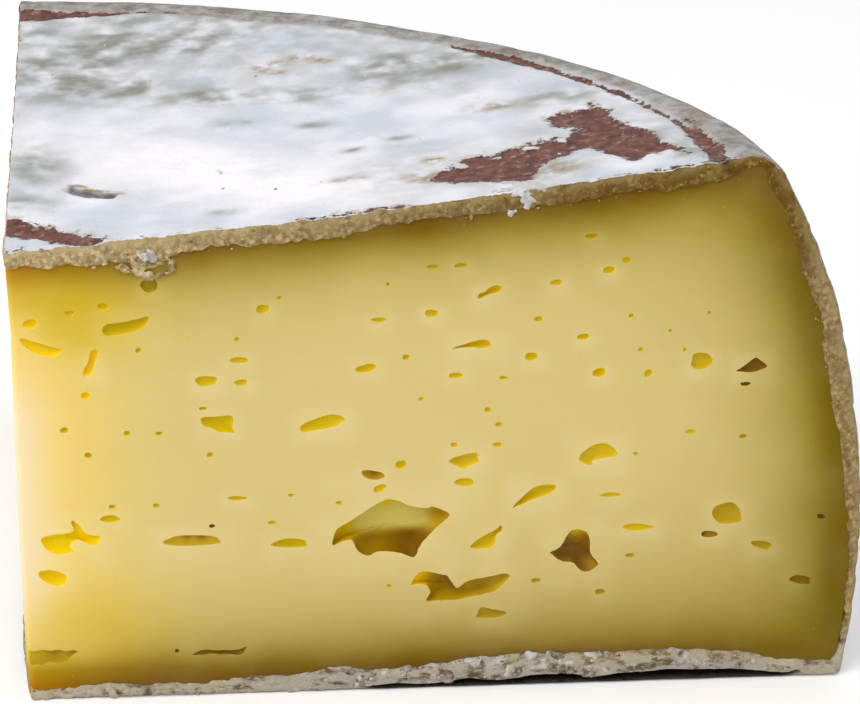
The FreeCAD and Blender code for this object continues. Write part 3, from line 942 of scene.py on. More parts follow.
FRONT_EYES = (
    GREAT_TEAR, LONG_TEAR, BROWN_TEAR, STAR_TEAR, TRAPEZE, *SMALL_TEARS, *CORNER_TEARS,
    Eye(17.6, 50.8, 2.0, 1.6, OVAL, 20, OCHRE), Eye(12.5, 48.4, 1.3, 0.9, OVAL, 0, BRIGHT),
    Eye(8.8, 47.7, 1.1, 0.7, OVAL, 0, BRIGHT), Eye(4.4, 46.5, 1.7, 1.2, OVAL, 0, BRIGHT),
    Eye(30.1, 47.8, 1.6, 1.1), Eye(32.0, 49.1, 0.6, 0.5), Eye(27.2, 44.3, 0.6, 0.6),
    Eye(44.1, 50.5, 0.4, 0.5), Eye(43.1, 46.3, 1.8, 0.7, SLIT), Eye(16.2, 43.2, 0.7, 0.6),
    Eye(66.9, 55.8, 1.4, 0.7), Eye(71.0, 52.9, 1.1, 0.8), Eye(69.0, 51.8, 1.4, 0.9),
    Eye(52.2, 52.6, 1.5, 0.6), Eye(49.1, 52.5, 1.3, 0.6), Eye(63.1, 50.4, 1.4, 0.8),
    Eye(49.0, 47.0, 1.6, 0.9), Eye(61.2, 46.1, 1.0, 0.7), Eye(71.8, 46.3, 0.6, 0.6),
    Eye(80.8, 46.5, 0.5, 0.5), Eye(76.4, 44.4, 0.5, 0.5), Eye(66.4, 43.9, 1.4, 0.8),
    Eye(60.5, 41.6, 1.6, 1.0), Eye(73.1, 42.2, 0.7, 0.6), Eye(78.2, 42.1, 0.5, 0.5),
    Eye(10.2, 37.9, 1.0, 1.0, OVAL, 0, BRIGHT), Eye(27.4, 41.8, 2.1, 0.8), Eye(23.7, 39.4, 2.7, 1.2),
    Eye(27.6, 39.1, 1.6, 0.8), Eye(23.3, 36.1, 0.9, 0.5), Eye(36.8, 34.0, 5.0, 1.7, OVAL, 13),
    Eye(41.6, 40.5, 2.3, 1.3, WEDGE, 10), Eye(46.2, 41.8, 0.9, 0.7), Eye(48.0, 36.7, 0.6, 0.5),
    Eye(7.7, 33.8, 1.0, 0.7), Eye(10.3, 30.7, 0.9, 0.7), Eye(14.7, 33.3, 0.8, 0.6),
    Eye(18.3, 33.2, 0.8, 0.5), Eye(24.0, 30.4, 0.8, 0.7), Eye(27.0, 25.0, 2.3, 0.6, SLIT),
    Eye(33.2, 25.2, 0.7, 0.5), Eye(12.8, 24.3, 0.8, 0.6), Eye(12.5, 22.8, 2.5, 0.9, SLIT),
    Eye(17.8, 24.3, 0.8, 0.6), Eye(21.8, 19.8, 7.1, 1.3, OVAL, 0, OCHRE, tints_and_shading=(
        (-0.6, 0.5, 0.5, UMBER), (1.1, 0.3, 0.5, UMBER))), Eye(24.1, 21.6, 0.7, 0.5, OVAL, 0, DARK),
    Eye(33.1, 19.0, 4.4, 1.3, DOME, 0, HONEY), Eye(31.0, 21.8, 1.1, 0.5), Eye(38.7, 24.1, 0.8, 0.5),
    Eye(42.6, 27.5, 2.8, 1.1, OVAL, -8, OCHRE, tints_and_shading=((0.1, 0.4, 0.9, BROWN),)),
    Eye(45.8, 28.7, 1.3, 1.1), Eye(43.4, 25.8, 1.7, 0.9, OVAL, 20),
    Eye(5.7, 15.6, 3.4, 2.3, WEDGE, -25, BRIGHT), Eye(44.6, 13.4, 0.7, 0.5),
    Eye(19.8, 5.8, 0.5, 0.5, OVAL, 0, DARK), Eye(51.9, 39.5, 1.8, 0.7), Eye(68.4, 39.5, 1.5, 1.2),
    Eye(74.1, 39.3, 1.0, 1.0), Eye(80.2, 40.7, 2.7, 2.0, OVAL, 0, HONEY),
    Eye(85.5, 37.8, 1.2, 0.5, OVAL, 0, BROWN), Eye(57.4, 39.1, 1.0, 0.5), Eye(55.7, 35.2, 0.8, 0.7),
    Eye(57.0, 33.4, 0.9, 0.6), Eye(56.9, 30.9, 1.2, 0.6), Eye(51.9, 31.0, 0.9, 0.6),
    Eye(53.2, 26.3, 2.3, 1.1), Eye(79.4, 32.0, 1.3, 0.6), Eye(85.6, 31.3, 0.9, 0.6, OVAL, 0, OCHRE),
    Eye(73.1, 29.4, 0.6, 0.5), Eye(70.3, 24.3, 2.8, 0.6, SLIT), Eye(73.7, 20.1, 3.8, 1.0, SLIT),
    Eye(73.0, 16.5, 1.1, 0.6, OVAL, 0, OCHRE),
    Eye(82.4, 19.0, 2.0, 1.1, WEDGE, 180, TAWNY, tints_and_shading=((-0.9, 0.0, 0.5, DARK),)),
    Eye(88.6, 17.4, 2.5, 1.4, WEDGE, -14, OCHRE), Eye(95.6, 20.9, 1.1, 0.6, OVAL, -10, BROWN),
    Eye(93.7, 12.6, 2.6, 1.4, DOME, -8, TAWNY), Eye(61.9, 13.6, 1.2, 0.6, OVAL, 0, OCHRE),
    Eye(69.6, 11.9, 1.4, 0.7, OVAL, 0, OCHRE),
)


def moved(eye: Eye, along: float, up: float, mirror: bool = False) -> Eye:
    """The same eye at another place.

    Args:
        eye: The eye to copy.
        along: Its new place along the cut.
        up: Its new height.
        mirror: Swap its two ends.

    Returns:
        The copy.
    """
    turn = -1.0 if mirror else 1.0
    torn = tuple((turn * across, rise) for across, rise in eye.torn)
    torn = torn[::-1] if mirror else torn
    tints_and_shading = tuple((turn * across, rise, spread, tone) for across, rise, spread, tone in eye.tints_and_shading)
    return replace(eye, along=along, up=up, tilt=turn * eye.tilt, torn=torn, tints_and_shading=tints_and_shading)


def scattered_eyes(seed: int, reach: float) -> tuple[Eye, ...]:
    """Eyes of the side cut: a few tears, then many small ones kept apart.

    Args:
        seed: Picks the places.
        reach: How far along the cut they may lie.

    Returns:
        The eyes.
    """
    draw = np.random.default_rng(seed)
    eyes = [
        moved(GREAT_TEAR, 58.0, 30.0, True), moved(LONG_TEAR, 33.0, 16.5, True),
        moved(BROWN_TEAR, 71.0, 21.0), moved(SMALL_TEARS[1], 24.0, 33.0, True),
        moved(SMALL_TEARS[3], 42.0, 41.0), moved(TRAPEZE, 82.0, 37.0),
        moved(SMALL_TEARS[2], 13.0, 24.0, True), moved(SMALL_TEARS[0], 48.0, 12.0, True),
    ]
    kinds = (OVAL, OVAL, OVAL, SLIT, DOME, BEAN, WEDGE)
    for _ in range(900):
        along, up = draw.uniform(5.0, reach), draw.uniform(6.0, 50.0)
        width = float(np.clip(draw.lognormal(0.25, 0.55), 0.5, 5.0))
        height = width * draw.uniform(0.35, 0.8)
        kind = kinds[draw.integers(len(kinds))] if width > 1.5 else OVAL
        tone = (PLAIN, PLAIN, OCHRE)[draw.integers(3)]
        # Painted glow: eyes near the corner edge get the brightest wall colour, as the paste there is lit
        # through the corner.
        tone = BRIGHT if along < 14.0 else tone
        clear = all(math.hypot(along - eye.along, up - eye.up) > 1.8 + 0.6 * (width + eye.width)
                    for eye in eyes)
        if clear and len(eyes) < 78:
            eyes.append(Eye(along, up, width, height, kind, draw.uniform(-15.0, 20.0), tone))
    return tuple(eyes)


@dataclass(frozen=True)
class Cut:
    """One knife cut: a plane through the corner, with its eyes."""

    origin: tuple[float, float]
    ahead: tuple[float, float]
    inward: tuple[float, float]
    eyes: tuple[Eye, ...]

    def depth(self, places: Points) -> np.ndarray:
        """How far points lie behind the cut."""
        return self.measured(places, self.inward)

    def along(self, places: Points) -> np.ndarray:
        """How far points lie along the cut, from the eyes' zero."""
        return self.measured(places, self.ahead)

    def measured(self, places: Points, way: tuple[float, float]) -> np.ndarray:
        """How far points lie from the origin in a level direction."""
        return (places[:, 0] - self.origin[0]) * way[0] + (places[:, 1] - self.origin[1]) * way[1]

    def place(self, along: np.ndarray, up: np.ndarray, depth: np.ndarray) -> Points:
        """Points in space from places on the cut."""
        level = (np.array(self.origin) + np.multiply.outer(along, self.ahead)
                 + np.multiply.outer(depth, self.inward))
        return np.concatenate([level, up[:, None]], axis=1)


@dataclass(frozen=True)
class Cutter:
    """Closed tool that hollows one eye: rings that narrow as they go deeper."""

    shares: tuple[float, ...] = (0.20, 0.45, 0.68, 0.84, 0.94, 0.99, 1.0)
    scales: tuple[float, ...] = (0.985, 0.95, 0.89, 0.79, 0.64, 0.44, 0.22)

    def build(self, cut: Cut, eye: Eye, lumps: np.random.Generator) -> tuple[Points, list[tuple[int, ...]]]:
        """Make the tool's vertices and faces.

        Args:
            cut: The cut that the eye lies on.
            eye: The eye.
            lumps: Seeded source of unevenness.

        Returns:
            Vertices in millimetres about the wheel's axis, and faces.
        """
        outline = eye.outline(lumps)
        count = len(outline)
        slant = np.stack([outline[:, 0] * 0.05, outline[:, 1] * -0.04], axis=1)
        levels = [(-1.0, 1.0)]
        levels += [(eye.reach * share, scale) for share, scale in zip(self.shares, self.scales)]
        rings = []
        soft = outline
        for depth, scale in levels:
            if depth > 0.0:
                for _ in range(2):
                    soft = 0.5 * soft + 0.25 * (np.roll(soft, 1, 0) + np.roll(soft, -1, 0))
            ring = soft * scale
            low = smooth_step(-ring[:, 1] / eye.height + 0.10 * ring[:, 0] / eye.width, 0.04, 0.40)
            deeper = depth * (1.0 + eye.crevice / eye.reach * low if depth > 0.0 else 1.0)
            rough = 1.0 + (lumps.normal(0.0, 0.02, count) if depth > 0.4 else 0.0)
            sag = slant[:, 1] * depth if depth > 0.0 else 0.0
            rings.append(cut.place(eye.along + ring[:, 0], eye.up + ring[:, 1] + sag, deeper * rough))
        tip = np.array([eye.along]), np.array([eye.up])
        places = np.concatenate([cut.place(*tip, np.array([-1.05])), *rings,
                                 cut.place(*tip, np.array([eye.reach * 1.03 + 0.02]))])
        last = len(places) - 1
        faces: list[tuple[int, ...]] = []
        for step in range(count):
            after = (step + 1) % count
            faces.append((0, 1 + step, 1 + after))
            for row in range(len(rings) - 1):
                near, far = 1 + row * count, 1 + (row + 1) * count
                faces.append((near + step, far + step, far + after, near + after))
            final = 1 + (len(rings) - 1) * count
            faces.append((final + step, last, final + after))
        return places, faces


@dataclass(frozen=True)
class BaseSplit:
    """Open split along the foot of a cut, between the rind's lower skin and the broken rind above it."""

    heights: Pairs = (
        (40, 0.0), (45, 0.6), (50, 0.3), (54, 1.0), (58, 0.5), (62, 1.1), (66, 1.2), (69, 0.5), (72, 1.0),
        (78, 1.3), (86, 1.1), (92, 0.4), (96, 0.0))
    skin: float = 0.22
    recess: float = 1.9
    # How strongly painted shadow darkens the split's three lowest band rows.
    split_shade: tuple[float, ...] = (0.8, 1.0, 1.0)

    def at(self, place: np.ndarray) -> np.ndarray:
        """Height of the split at distances along the cut."""
        return read_off(self.heights, place)

    def lift(self, place: np.ndarray, behind: np.ndarray) -> np.ndarray:
        """How far the paste's lower side stays above its level, so that it doesn't fill the split."""
        return self.at(place) * 1.25 * bell(behind, 6.0)


def mirrored_place(place: np.ndarray) -> np.ndarray:
    """Where on the front cut the side cut takes its sizes from, so that the two cuts differ."""
    return 99.0 - 0.9 * place


@dataclass
class Paste:
    """The wedge of paste: two fine knife cuts with eyes, and plain outer sides under the rind."""

    stage: Stage
    under_rind: float = 1.0
    corner_round: float = 0.6
    fine_step: float = 0.62
    rows: int = 90
    sides: int = 24
    relief: float = 0.07
    eye_seed: int = 23
    side_seed: int = 5
    side_reach: float = 90.0
    core: Colour = (221, 201, 133)
    # Painted glow and painted light: the paste near the corner edge is lightened as if light shone through it
    # from the side.
    glow: Colour = (245, 215, 112)
    painted_corner_light: Colour = (250, 228, 188)
    dry_side: Colour = (132, 116, 26)
    dry_top: Colour = (136, 116, 18)
    dry_corner: Colour = (188, 152, 0)
    dry_base: Colour = (128, 108, 22)
    gold: Colour = (208, 176, 12)
    crust_brown: Colour = (112, 74, 4)
    crust_amber: Colour = (176, 112, 0)
    crust_olive: Colour = (116, 92, 4)
    haze: Colour = (240, 224, 180)
    great_wall: Colour = (210, 192, 98)
    great_rim: Colour = (218, 188, 56)
    great_ends: Colour = (196, 160, 0)
    # Lower crevice of the great tear: partly the wall's own ochre, partly painted shade where the crevice
    # runs deeper.
    great_crevice_shade: Colour = (156, 118, 0)
    great_crevice_darkest_shade: Colour = (132, 92, 0)
    dry_reach: Pairs = ((0, 4.2), (28, 4.2), (38, 3.5), (48, 3.9), (62, 4.2), (84, 6.0))
    grain: Grain = field(default_factory=lambda: Grain(11))

    @property
    def cuts(self) -> tuple[Cut, Cut]:
        """The front cut and the side cut."""
        wheel = self.stage.wheel
        angle = math.radians(wheel.wedge_angle)
        ahead = (math.cos(angle), math.sin(angle))
        corner = (wheel.corner_inset, 0.0)
        front = Cut((0.0, 0.0), (1.0, 0.0), (0.0, 1.0), FRONT_EYES)
        eyes = scattered_eyes(self.side_seed, self.side_reach)
        side = Cut(corner, ahead, (ahead[1], -ahead[0]), eyes)
        return front, side

    def columns(self, reach: float) -> Points:
        """Distances from the corner edge, and how far its rounding lies inside the cut.

        Args:
            reach: Length of the cut.

        Returns:
            One row of distance and inset for each column.
        """
        turns = np.radians([45.0, 60.0, 75.0, 90.0])
        arc = np.stack([1.0 - np.cos(turns), 1.0 - np.sin(turns)], axis=1) * self.corner_round
        near = [(0.95, 0.0), (1.5, 0.0), (2.2, 0.0)]
        count = int((reach - 3.0) / self.fine_step)
        rest = [(distance, 0.0) for distance in np.linspace(3.0, reach, count)]
        return np.concatenate([arc, near, rest])

    def block(self) -> Piece:
        """The closed wedge before the eyes are hollowed."""
        wheel = self.stage.wheel
        reach = wheel.radius - wheel.corner_inset
        columns = self.columns(reach)
        share = columns[:, 0] / reach
        rise = np.linspace(0.0, 1.0, self.rows + 1)
        angles = np.radians(np.linspace(0.0, wheel.wedge_angle, self.sides + 1))
        spans = []
        for angle in angles:
            up = np.outer(rise, np.full(len(share), 50.0))
            for _ in range(12):
                rim = wheel.side_radius(up) - self.under_rind
                length = wheel.run(angle, rim)
                away = share[None, :] * length
                level = np.stack([wheel.corner_inset + away * math.cos(angle), away * math.sin(angle)])
                top = wheel.top_height(np.hypot(*level)) - self.under_rind
                up = self.under_rind * 0.6 + rise[:, None] * (top - self.under_rind * 0.6)
            spans.append(np.stack([away, up], axis=-1))
        front, side = self.cuts
        corner = np.array([wheel.corner_inset, 0.0])
        index: dict[tuple[int, int, int], int] = {}
        places: list[np.ndarray] = []

        def vertex(turn: int, row: int, column: int) -> int:
            """Number of a grid point, made when first asked for.

            Args:
                turn: Step around the corner, from the front cut to the side cut.
                row: Step upwards.
                column: Step outwards, where 0 is the corner edge.

            Returns:
                Its vertex number.
            """
            key = (0, row, 0) if column == 0 else (turn, row, column)
            if key not in index:
                away, up = spans[key[0]][row, column]
                ahead = np.array([math.cos(angles[key[0]]), math.sin(angles[key[0]])])
                inset = columns[column, 1]
                inward = (np.array(front.inward) * (key[0] == 0)
                          + np.array(side.inward) * (key[0] == self.sides))
                level = corner + ahead * away + inward * inset
                index[key] = len(places)
                places.append(np.array([level[0], level[1], up]))
            return index[key]

        faces = []
        rows, turns, steps = range(self.rows + 1), range(self.sides + 1), range(len(columns))
        for turn, flip in ((0, False), (self.sides, True)):
            sheet = np.array([[vertex(turn, row, column) for column in steps] for row in rows])
            faces += grid_faces(sheet, not flip)
        rim = np.array([[vertex(turn, row, len(columns) - 1) for turn in turns] for row in rows])
        faces += grid_faces(rim, True)
        for row, flip in ((0, False), (self.rows, True)):
            sheet = np.array([[vertex(turn, row, column) for turn in turns] for column in steps])
            faces += grid_faces(sheet, flip)
        shape = self.wavy(np.array(places))
        return self.stage.mesh("paste", shape, faces)

    def wavy(self, places: Points) -> Points:
        """Give the cuts their faint waves and the corner its wear.

        Args:
            places: Points of the block, which are moved.

        Returns:
            The moved points.
        """
        wheel = self.stage.wheel
        front, side = self.cuts
        swell = self.relief * (self.grain.layered(places * (0.5, 0.5, 1.0), 9.0)
                               + 0.5 * self.grain.at(places * (0.4, 0.4, 1.0) + 50.0, 1.9))
        for cut in (front, side):
            near = np.exp(-np.abs(cut.depth(places)) / 0.3)
            places[:, :2] += np.multiply.outer(swell * near, cut.inward)
        split = BaseSplit()
        low = 1.0 - smooth_step(places[:, 2], 0.6, 6.0)
        along = wheel.along_cut(places) + wheel.corner_inset
        places[:, 2] += low * np.maximum(split.lift(along, front.depth(places)),
                                         split.lift(mirrored_place(along), side.depth(places)))
        uneven = 1.0 + 0.4 * self.grain.at(places * (0.0, 0.0, 1.0) + 7.0, 5.0)
        places[:, 0] += uneven * wheel.corner_wear(places)
        return places

    def hollow(self, block: Piece) -> None:
        """Cut the eyes of both cuts out of the block.

        Args:
            block: The closed wedge.
        """
        lumps = np.random.default_rng(self.eye_seed)
        cutter = Cutter()
        places: list[Points] = []
        faces: list[tuple[int, ...]] = []
        start = 0
        for cut in self.cuts:
            for eye in cut.eyes:
                made, ring_faces = cutter.build(cut, eye, lumps)
                places.append(made)
                faces += [tuple(number + start for number in face) for face in ring_faces]
                start += len(made)
        tool = self.stage.mesh("eye_cutters", np.concatenate(places), faces)
        for piece, number in ((block, 0), (tool, 1)):
            self.outward(piece)
            for name in ("cut", "wall"):
                piece.data.materials.append(bpy.data.materials.get(name) or bpy.data.materials.new(name))
            piece.data.polygons.foreach_set("material_index", [number] * len(piece.data.polygons))
        change = block.modifiers.new("eyes", "BOOLEAN")
        change.operation = "DIFFERENCE"
        change.object = tool
        change.solver = "MANIFOLD"
        settle(block)
        bpy.data.objects.remove(tool)

    def outward(self, piece: Piece) -> None:
        """Turn every face of a piece outwards."""
        work = bmesh.new()
        work.from_mesh(piece.data)
        bmesh.ops.recalc_face_normals(work, faces=work.faces)
        work.to_mesh(piece.data)
        work.free()

    def ground(self, places: Points, along: np.ndarray) -> Points:
        """Colour of the cut paste: a painted glow and a painted pale strip of light at the corner, dry and
        brown next to the rind.

        Args:
            places: Points, in millimetres.
            along: Distance of each from the corner edge.

        Returns:
            Display colours, 0 to 255.
        """
        wheel = self.stage.wheel
        radius = np.hypot(places[:, 0], places[:, 1])
        up = places[:, 2]
        drift = self.grain.layered(places + 90.0, 7.0)
        to_side = wheel.side_radius(up) - radius + 0.9 * drift
        to_top = wheel.top_height(radius) - up + 0.5 * drift
        side = fade(to_side, 3.8, 5.6)
        top = fade(to_top, 3.0, read_off(self.dry_reach, along)) * np.interp(along, (0, 45), (0.78, 1.0))
        base = fade(up + 0.4 * drift, 3.6, 2.6 + 0.062 * along)
        # Painted light: a pale strip along the corner edge and a wider painted glow stand in for light
        # passing through the corner.
        edge = bell(along, 4.2) * smooth_step(up, 3.0, 13.0) * (1.0 - smooth_step(up, 34.0, 46.0))
        colour = blend(self.core, self.glow, bell(along, 11.5))
        colour = blend(colour, self.painted_corner_light, edge)
        corner_dry = np.exp(-along / 9.0)
        dry_top = blend(self.dry_top, self.dry_corner, corner_dry)
        dry_base = blend(self.dry_base, self.dry_corner, corner_dry)
        total = (side + top + base)[:, None] + 1e-6
        dry = np.multiply.outer(side, self.dry_side) + top[:, None] * dry_top + base[:, None] * dry_base
        dry = dry / total
        colour = blend(dry, colour, (1.0 - side) * (1.0 - top) * (1.0 - base))
        over_base = up + 0.4 * drift - np.interp(along, (0, 60), (1.6, 3.6))
        near = np.minimum.reduce([to_side - 2.6, to_top - 2.2, over_base])
        brown = (0.80 - 0.22 * bell(along - 36.0, 9.0)) * fade(near, 0.0, 1.5)
        tint = blend(self.crust_brown, self.crust_amber, corner_dry)
        tint = blend(tint, self.crust_olive, smooth_step(radius, 82.0, 92.0))
        colour = blend(colour, tint, brown)
        high = 0.56 * smooth_step(along, 0.5, 6.0) * bell(np.maximum(along - 6.0, 0.0), 8.5)
        high = high * smooth_step(up, 40.0, 45.5) * (1.0 - 0.8 * smooth_step(up, 49.0, 52.0))
        low = 0.34 * bell(along - 8.0, 7.5) * bell(up - 9.5, 5.0)
        return blend(colour, self.gold, np.maximum(high, low))

    def eye_walls(self, cut: Cut, places: Points) -> tuple[Points, np.ndarray]:
        """Colour of the eyes' walls, by the nearest eye, with painted shade deeper in the eyes and in the
        great tear's crevice.

        Args:
            cut: The cut that the eyes lie on.
            places: Points on the walls.

        Returns:
            Display colours, and how near each point's own eye is, under 1 inside it.
        """
        along, up, depth = cut.along(places), places[:, 2], cut.depth(places)
        best = np.full(len(places), np.inf)
        colour = np.zeros((len(places), 3))
        for eye in cut.eyes:
            half_width, half_height = eye.width / 2.0 + 0.3, eye.height / 2.0 + 0.3
            near = np.hypot((along - eye.along) / half_width, (up - eye.up) / half_height)
            near = near + np.maximum(depth - eye.reach - eye.crevice - 0.6, 0.0) * 10.0
            mine = near < best
            if not mine.any():
                continue
            best[mine] = near[mine]
            sunk = np.clip(depth[mine] / (eye.reach + eye.crevice + 0.01), 0.0, 1.0)
            aside = along[mine] - eye.along
            if eye.crevice > 0.6:
                low = smooth_step((eye.up - up[mine]) / eye.height + 0.10 * aside / eye.width, 0.0, 0.22)
                pale = blend(self.great_wall, self.great_rim, 1.0 - smooth_step(sunk, 0.10, 0.36))
                pale = blend(pale, self.great_ends, smooth_step(np.abs(aside) / eye.width, 0.24, 0.44))
                # Painted shade: the lower part of the tear, where the crevice runs deeper, darkens to brown
                # towards its right.
                deep = blend(self.great_crevice_shade, self.great_crevice_darkest_shade, smooth_step(aside / eye.width, -0.12, 0.14))
                colour[mine] = blend(pale, deep, low)
            else:
                # Painted shade: the wall darkens slightly with depth in the eye.
                colour[mine] = np.array(eye.tone.value, float) * (1.0 - 0.06 * sunk[:, None])
            # Spots of another colour: partly the wall's own tone, partly painted shade in hollows and painted
            # light on rims.
            for across, rise, spread, tone in eye.tints_and_shading:
                away = ((aside - across) ** 2 + (up[mine] - eye.up - rise) ** 2) / spread**2
                colour[mine] = blend(colour[mine], tone.value, np.exp(-away))
        return colour, best

    def haloed(self, places: Points, colours: Points) -> Points:
        """Lay a pale translucent haze on the cuts just below and beside the larger eyes.

        Args:
            places: Points, in millimetres.
            colours: Display colour of each.

        Returns:
            The hazed colours.
        """
        haze = np.zeros(len(places))
        for cut in self.cuts:
            along, up = cut.along(places), places[:, 2]
            on_cut = np.abs(cut.depth(places)) < 0.25
            for eye in cut.eyes:
                if eye.width < 1.4:
                    continue
                spread = 0.5 + 0.22 * eye.width
                out = np.hypot(np.maximum(np.abs(along - eye.along - 0.2) - eye.width / 2.0, 0.0),
                               np.maximum(np.abs(up - eye.up + 0.4) - eye.height / 2.0, 0.0))
                haze = np.maximum(haze, np.where(on_cut, bell(out, spread), 0.0))
        patchy = 0.75 + 0.5 * self.grain.layered(places + 30.0, 3.0)
        lit = np.clip(colours.mean(axis=1) / 180.0, 0.0, 1.0) ** 2
        return blend(colours, self.haze, 0.27 * haze * patchy * lit)

    def dress(self, piece: Piece) -> None:
        """Store the colours on the face corners and give the piece its material.

        Args:
            piece: The wedge with its eyes hollowed.
        """
        data = piece.data
        places = self.stage.places(piece)
        loops = read(data.loops, "vertex_index", 1, np.int32)
        kinds = read(data.polygons, "material_index", 1, np.int32)
        data.polygons.foreach_set("material_index", [0] * len(kinds))
        wall = np.repeat(kinds == 1, read(data.polygons, "loop_total", 1, np.int32))
        colours = self.ground(places, self.stage.wheel.along_cut(places))[loops]
        front, side = self.cuts
        walls, nearest = self.eye_walls(front, places[loops[wall]])
        tint, near = self.eye_walls(side, places[loops[wall]])
        walls[near < nearest] = tint[near < nearest]
        dryness = (colours[wall].mean(axis=1) / np.mean(self.core))[:, None]
        colours[wall] = walls * np.clip(0.42 + 0.62 * dryness, 0.0, 1.0)
        colours[~wall] = self.haloed(places[loops[~wall]], colours[~wall])
        full = np.ones((len(colours), 4), np.float32)
        full[:, :3] = light_of(colours)
        data.attributes.new("tone", "FLOAT_COLOR", "CORNER").data.foreach_set("color", full.ravel())
        data.attributes.new("inside", "FLOAT", "CORNER").data.foreach_set("value", wall.astype(np.float32))
        data.materials.clear()
        data.materials.append(PasteFinish().build())
        shade_smooth(piece, 44.0)

    def build(self) -> Piece:
        """Build and dress the paste."""
        piece = self.block()
        self.hollow(piece)
        self.dress(piece)
        return piece


# ------------------------------------------------------------------------------- rind


@dataclass(frozen=True)
class Patch:
    """Closed outline on the top, seen from above, in millimetres about the wheel's axis."""

    ring: Pairs

    def inside(self, level: Points) -> np.ndarray:
        """How far points lie inside the outline.

        Args:
            level: Points seen from above.

        Returns:
            Distances to the outline, negative outside.
        """
        start = np.array(self.ring, float)
        end = np.roll(start, -1, axis=0)
        nearest = np.full(len(level), np.inf)
        odd = np.zeros(len(level), bool)
        for (ax, ay), (bx, by) in zip(start, end):
            nearest = np.minimum(nearest, to_run(level, np.array([ax, ay]), np.array([bx, by])))
            crosses = (ay > level[:, 1]) != (by > level[:, 1])
            if crosses.any():
                reach = ax + (level[:, 1] - ay) * (bx - ax) / ((by - ay) or 1e-9)
                odd ^= crosses & (level[:, 0] < reach)
        return np.where(odd, nearest, -nearest)


@dataclass(frozen=True)
class Spot:
    """Soft round spot on the top, in millimetres about the wheel's axis."""

    x: float
    y: float
    wide: float
    deep: float

    def strength(self, level: Points) -> np.ndarray:
        """How strongly points are coloured, 1 in the middle."""
        across, up = (level[:, 0] - self.x) / self.wide, (level[:, 1] - self.y) / self.deep
        return np.exp(-(across**2 + up**2))


BARE_PATCHES = (
    Patch((
        (49.5, 8.0), (54.0, 5.5), (60.5, 3.0), (61.5, 8.0), (68.0, 13.0), (69.5, 11.0), (72.0, 5.5),
        (76.5, 7.5), (78.5, 4.5), (76.5, 10.0), (76.0, 14.0), (72.5, 22.5), (72.5, 26.5), (71.0, 29.5),
        (65.5, 25.5), (65.5, 22.0), (69.0, 20.5), (66.0, 18.0), (60.0, 16.0), (53.5, 14.5))),
    Patch((
        (0.5, 10.0), (4.5, 8.0), (7.5, 5.5), (12.5, 1.5), (12.0, -2.0), (8.0, 0.5), (6.0, 2.5), (1.0, 5.0))),
    Patch(((81.0, 19.0), (80.0, 9.5), (80.0, 0.5), (81.0, -3.5), (82.0, 5.0), (81.0, 13.0))),
)
MOTTLES = (
    Spot(4.3, 57.5, 5.0, 3.5), Spot(9.0, 52.0, 6.0, 3.0), Spot(13.2, 51.8, 4.0, 2.5),
    Spot(11.8, 68.9, 6.0, 3.0), Spot(20.6, 67.2, 8.0, 3.0), Spot(7.8, 61.4, 5.0, 2.5),
    Spot(36.4, 44.9, 5.0, 2.5), Spot(37.7, 33.7, 2.4, 1.5), Spot(27.6, 37.2, 3.0, 1.2),
    Spot(55.6, 51.1, 7.0, 4.0), Spot(24.4, 46.9, 6.0, 3.0), Spot(4.0, 26.0, 4.0, 7.0),
    Spot(3.0, 14.0, 4.0, 3.0), Spot(74.2, 12.2, 3.0, 3.0), Spot(78.7, 5.5, 2.5, 4.0),
    Spot(68.1, 33.8, 4.0, 3.0), Spot(41.9, 23.0, 1.6, 1.0), Spot(47.5, 25.5, 1.6, 1.0),
    Spot(40.1, 12.6, 2.0, 1.0), Spot(26.2, 5.6, 2.0, 1.0),
)
WHITES = (
    Spot(16.0, 29.0, 8.0, 6.0), Spot(23.0, 22.0, 9.0, 7.0), Spot(31.0, 15.0, 9.0, 7.0),
    Spot(38.0, 8.0, 8.0, 5.0),
)
STAINS = (
    Spot(32.0, 56.0, 1.8, 1.3), Spot(34.0, 57.6, 1.8, 1.0), Spot(37.0, 59.2, 2.0, 1.0),
    Spot(40.0, 57.6, 1.6, 1.2), Spot(34.0, 54.4, 1.2, 0.8), Spot(59.9, 32.6, 3.2, 1.4),
    Spot(50.6, 15.8, 1.5, 1.2), Spot(50.6, 15.6, 0.9, 0.9), Spot(49.0, 9.5, 2.4, 2.4),
    Spot(63.5, 6.5, 3.4, 3.0),
)
REGROWN = (
    Spot(53.8, 11.8, 0.9, 1.2), Spot(57.8, 13.2, 1.5, 1.0), Spot(61.8, 14.9, 1.6, 1.0),
    Spot(66.0, 16.0, 1.0, 1.4), Spot(72.6, 16.5, 0.8, 1.3), Spot(69.8, 27.6, 1.0, 1.2),
    Spot(58.6, 8.6, 1.2, 0.7),
)
# Dark holes and cracks in the cut band, coloured with painted shadow.
GAP_SHADOWS = (
    (15.1, 0.0, 53.4, 0.55), (19.3, 0.0, 53.0, 0.45), (48.6, 0.0, 57.2, 0.35), (71.3, 0.0, 60.3, 0.35),
    (81.3, 0.6, 65.0, 0.7), (81.6, 0.0, 64.2, 0.6), (82.1, 0.0, 63.5, 0.45), (82.8, 0.0, 62.9, 0.4),
    (83.5, 0.0, 62.3, 0.35), (80.9, 2.2, 65.0, 0.6),
)
CRACK = ((8.2, 18.0), (9.4, 16.3), (11.0, 15.3), (13.2, 14.4))


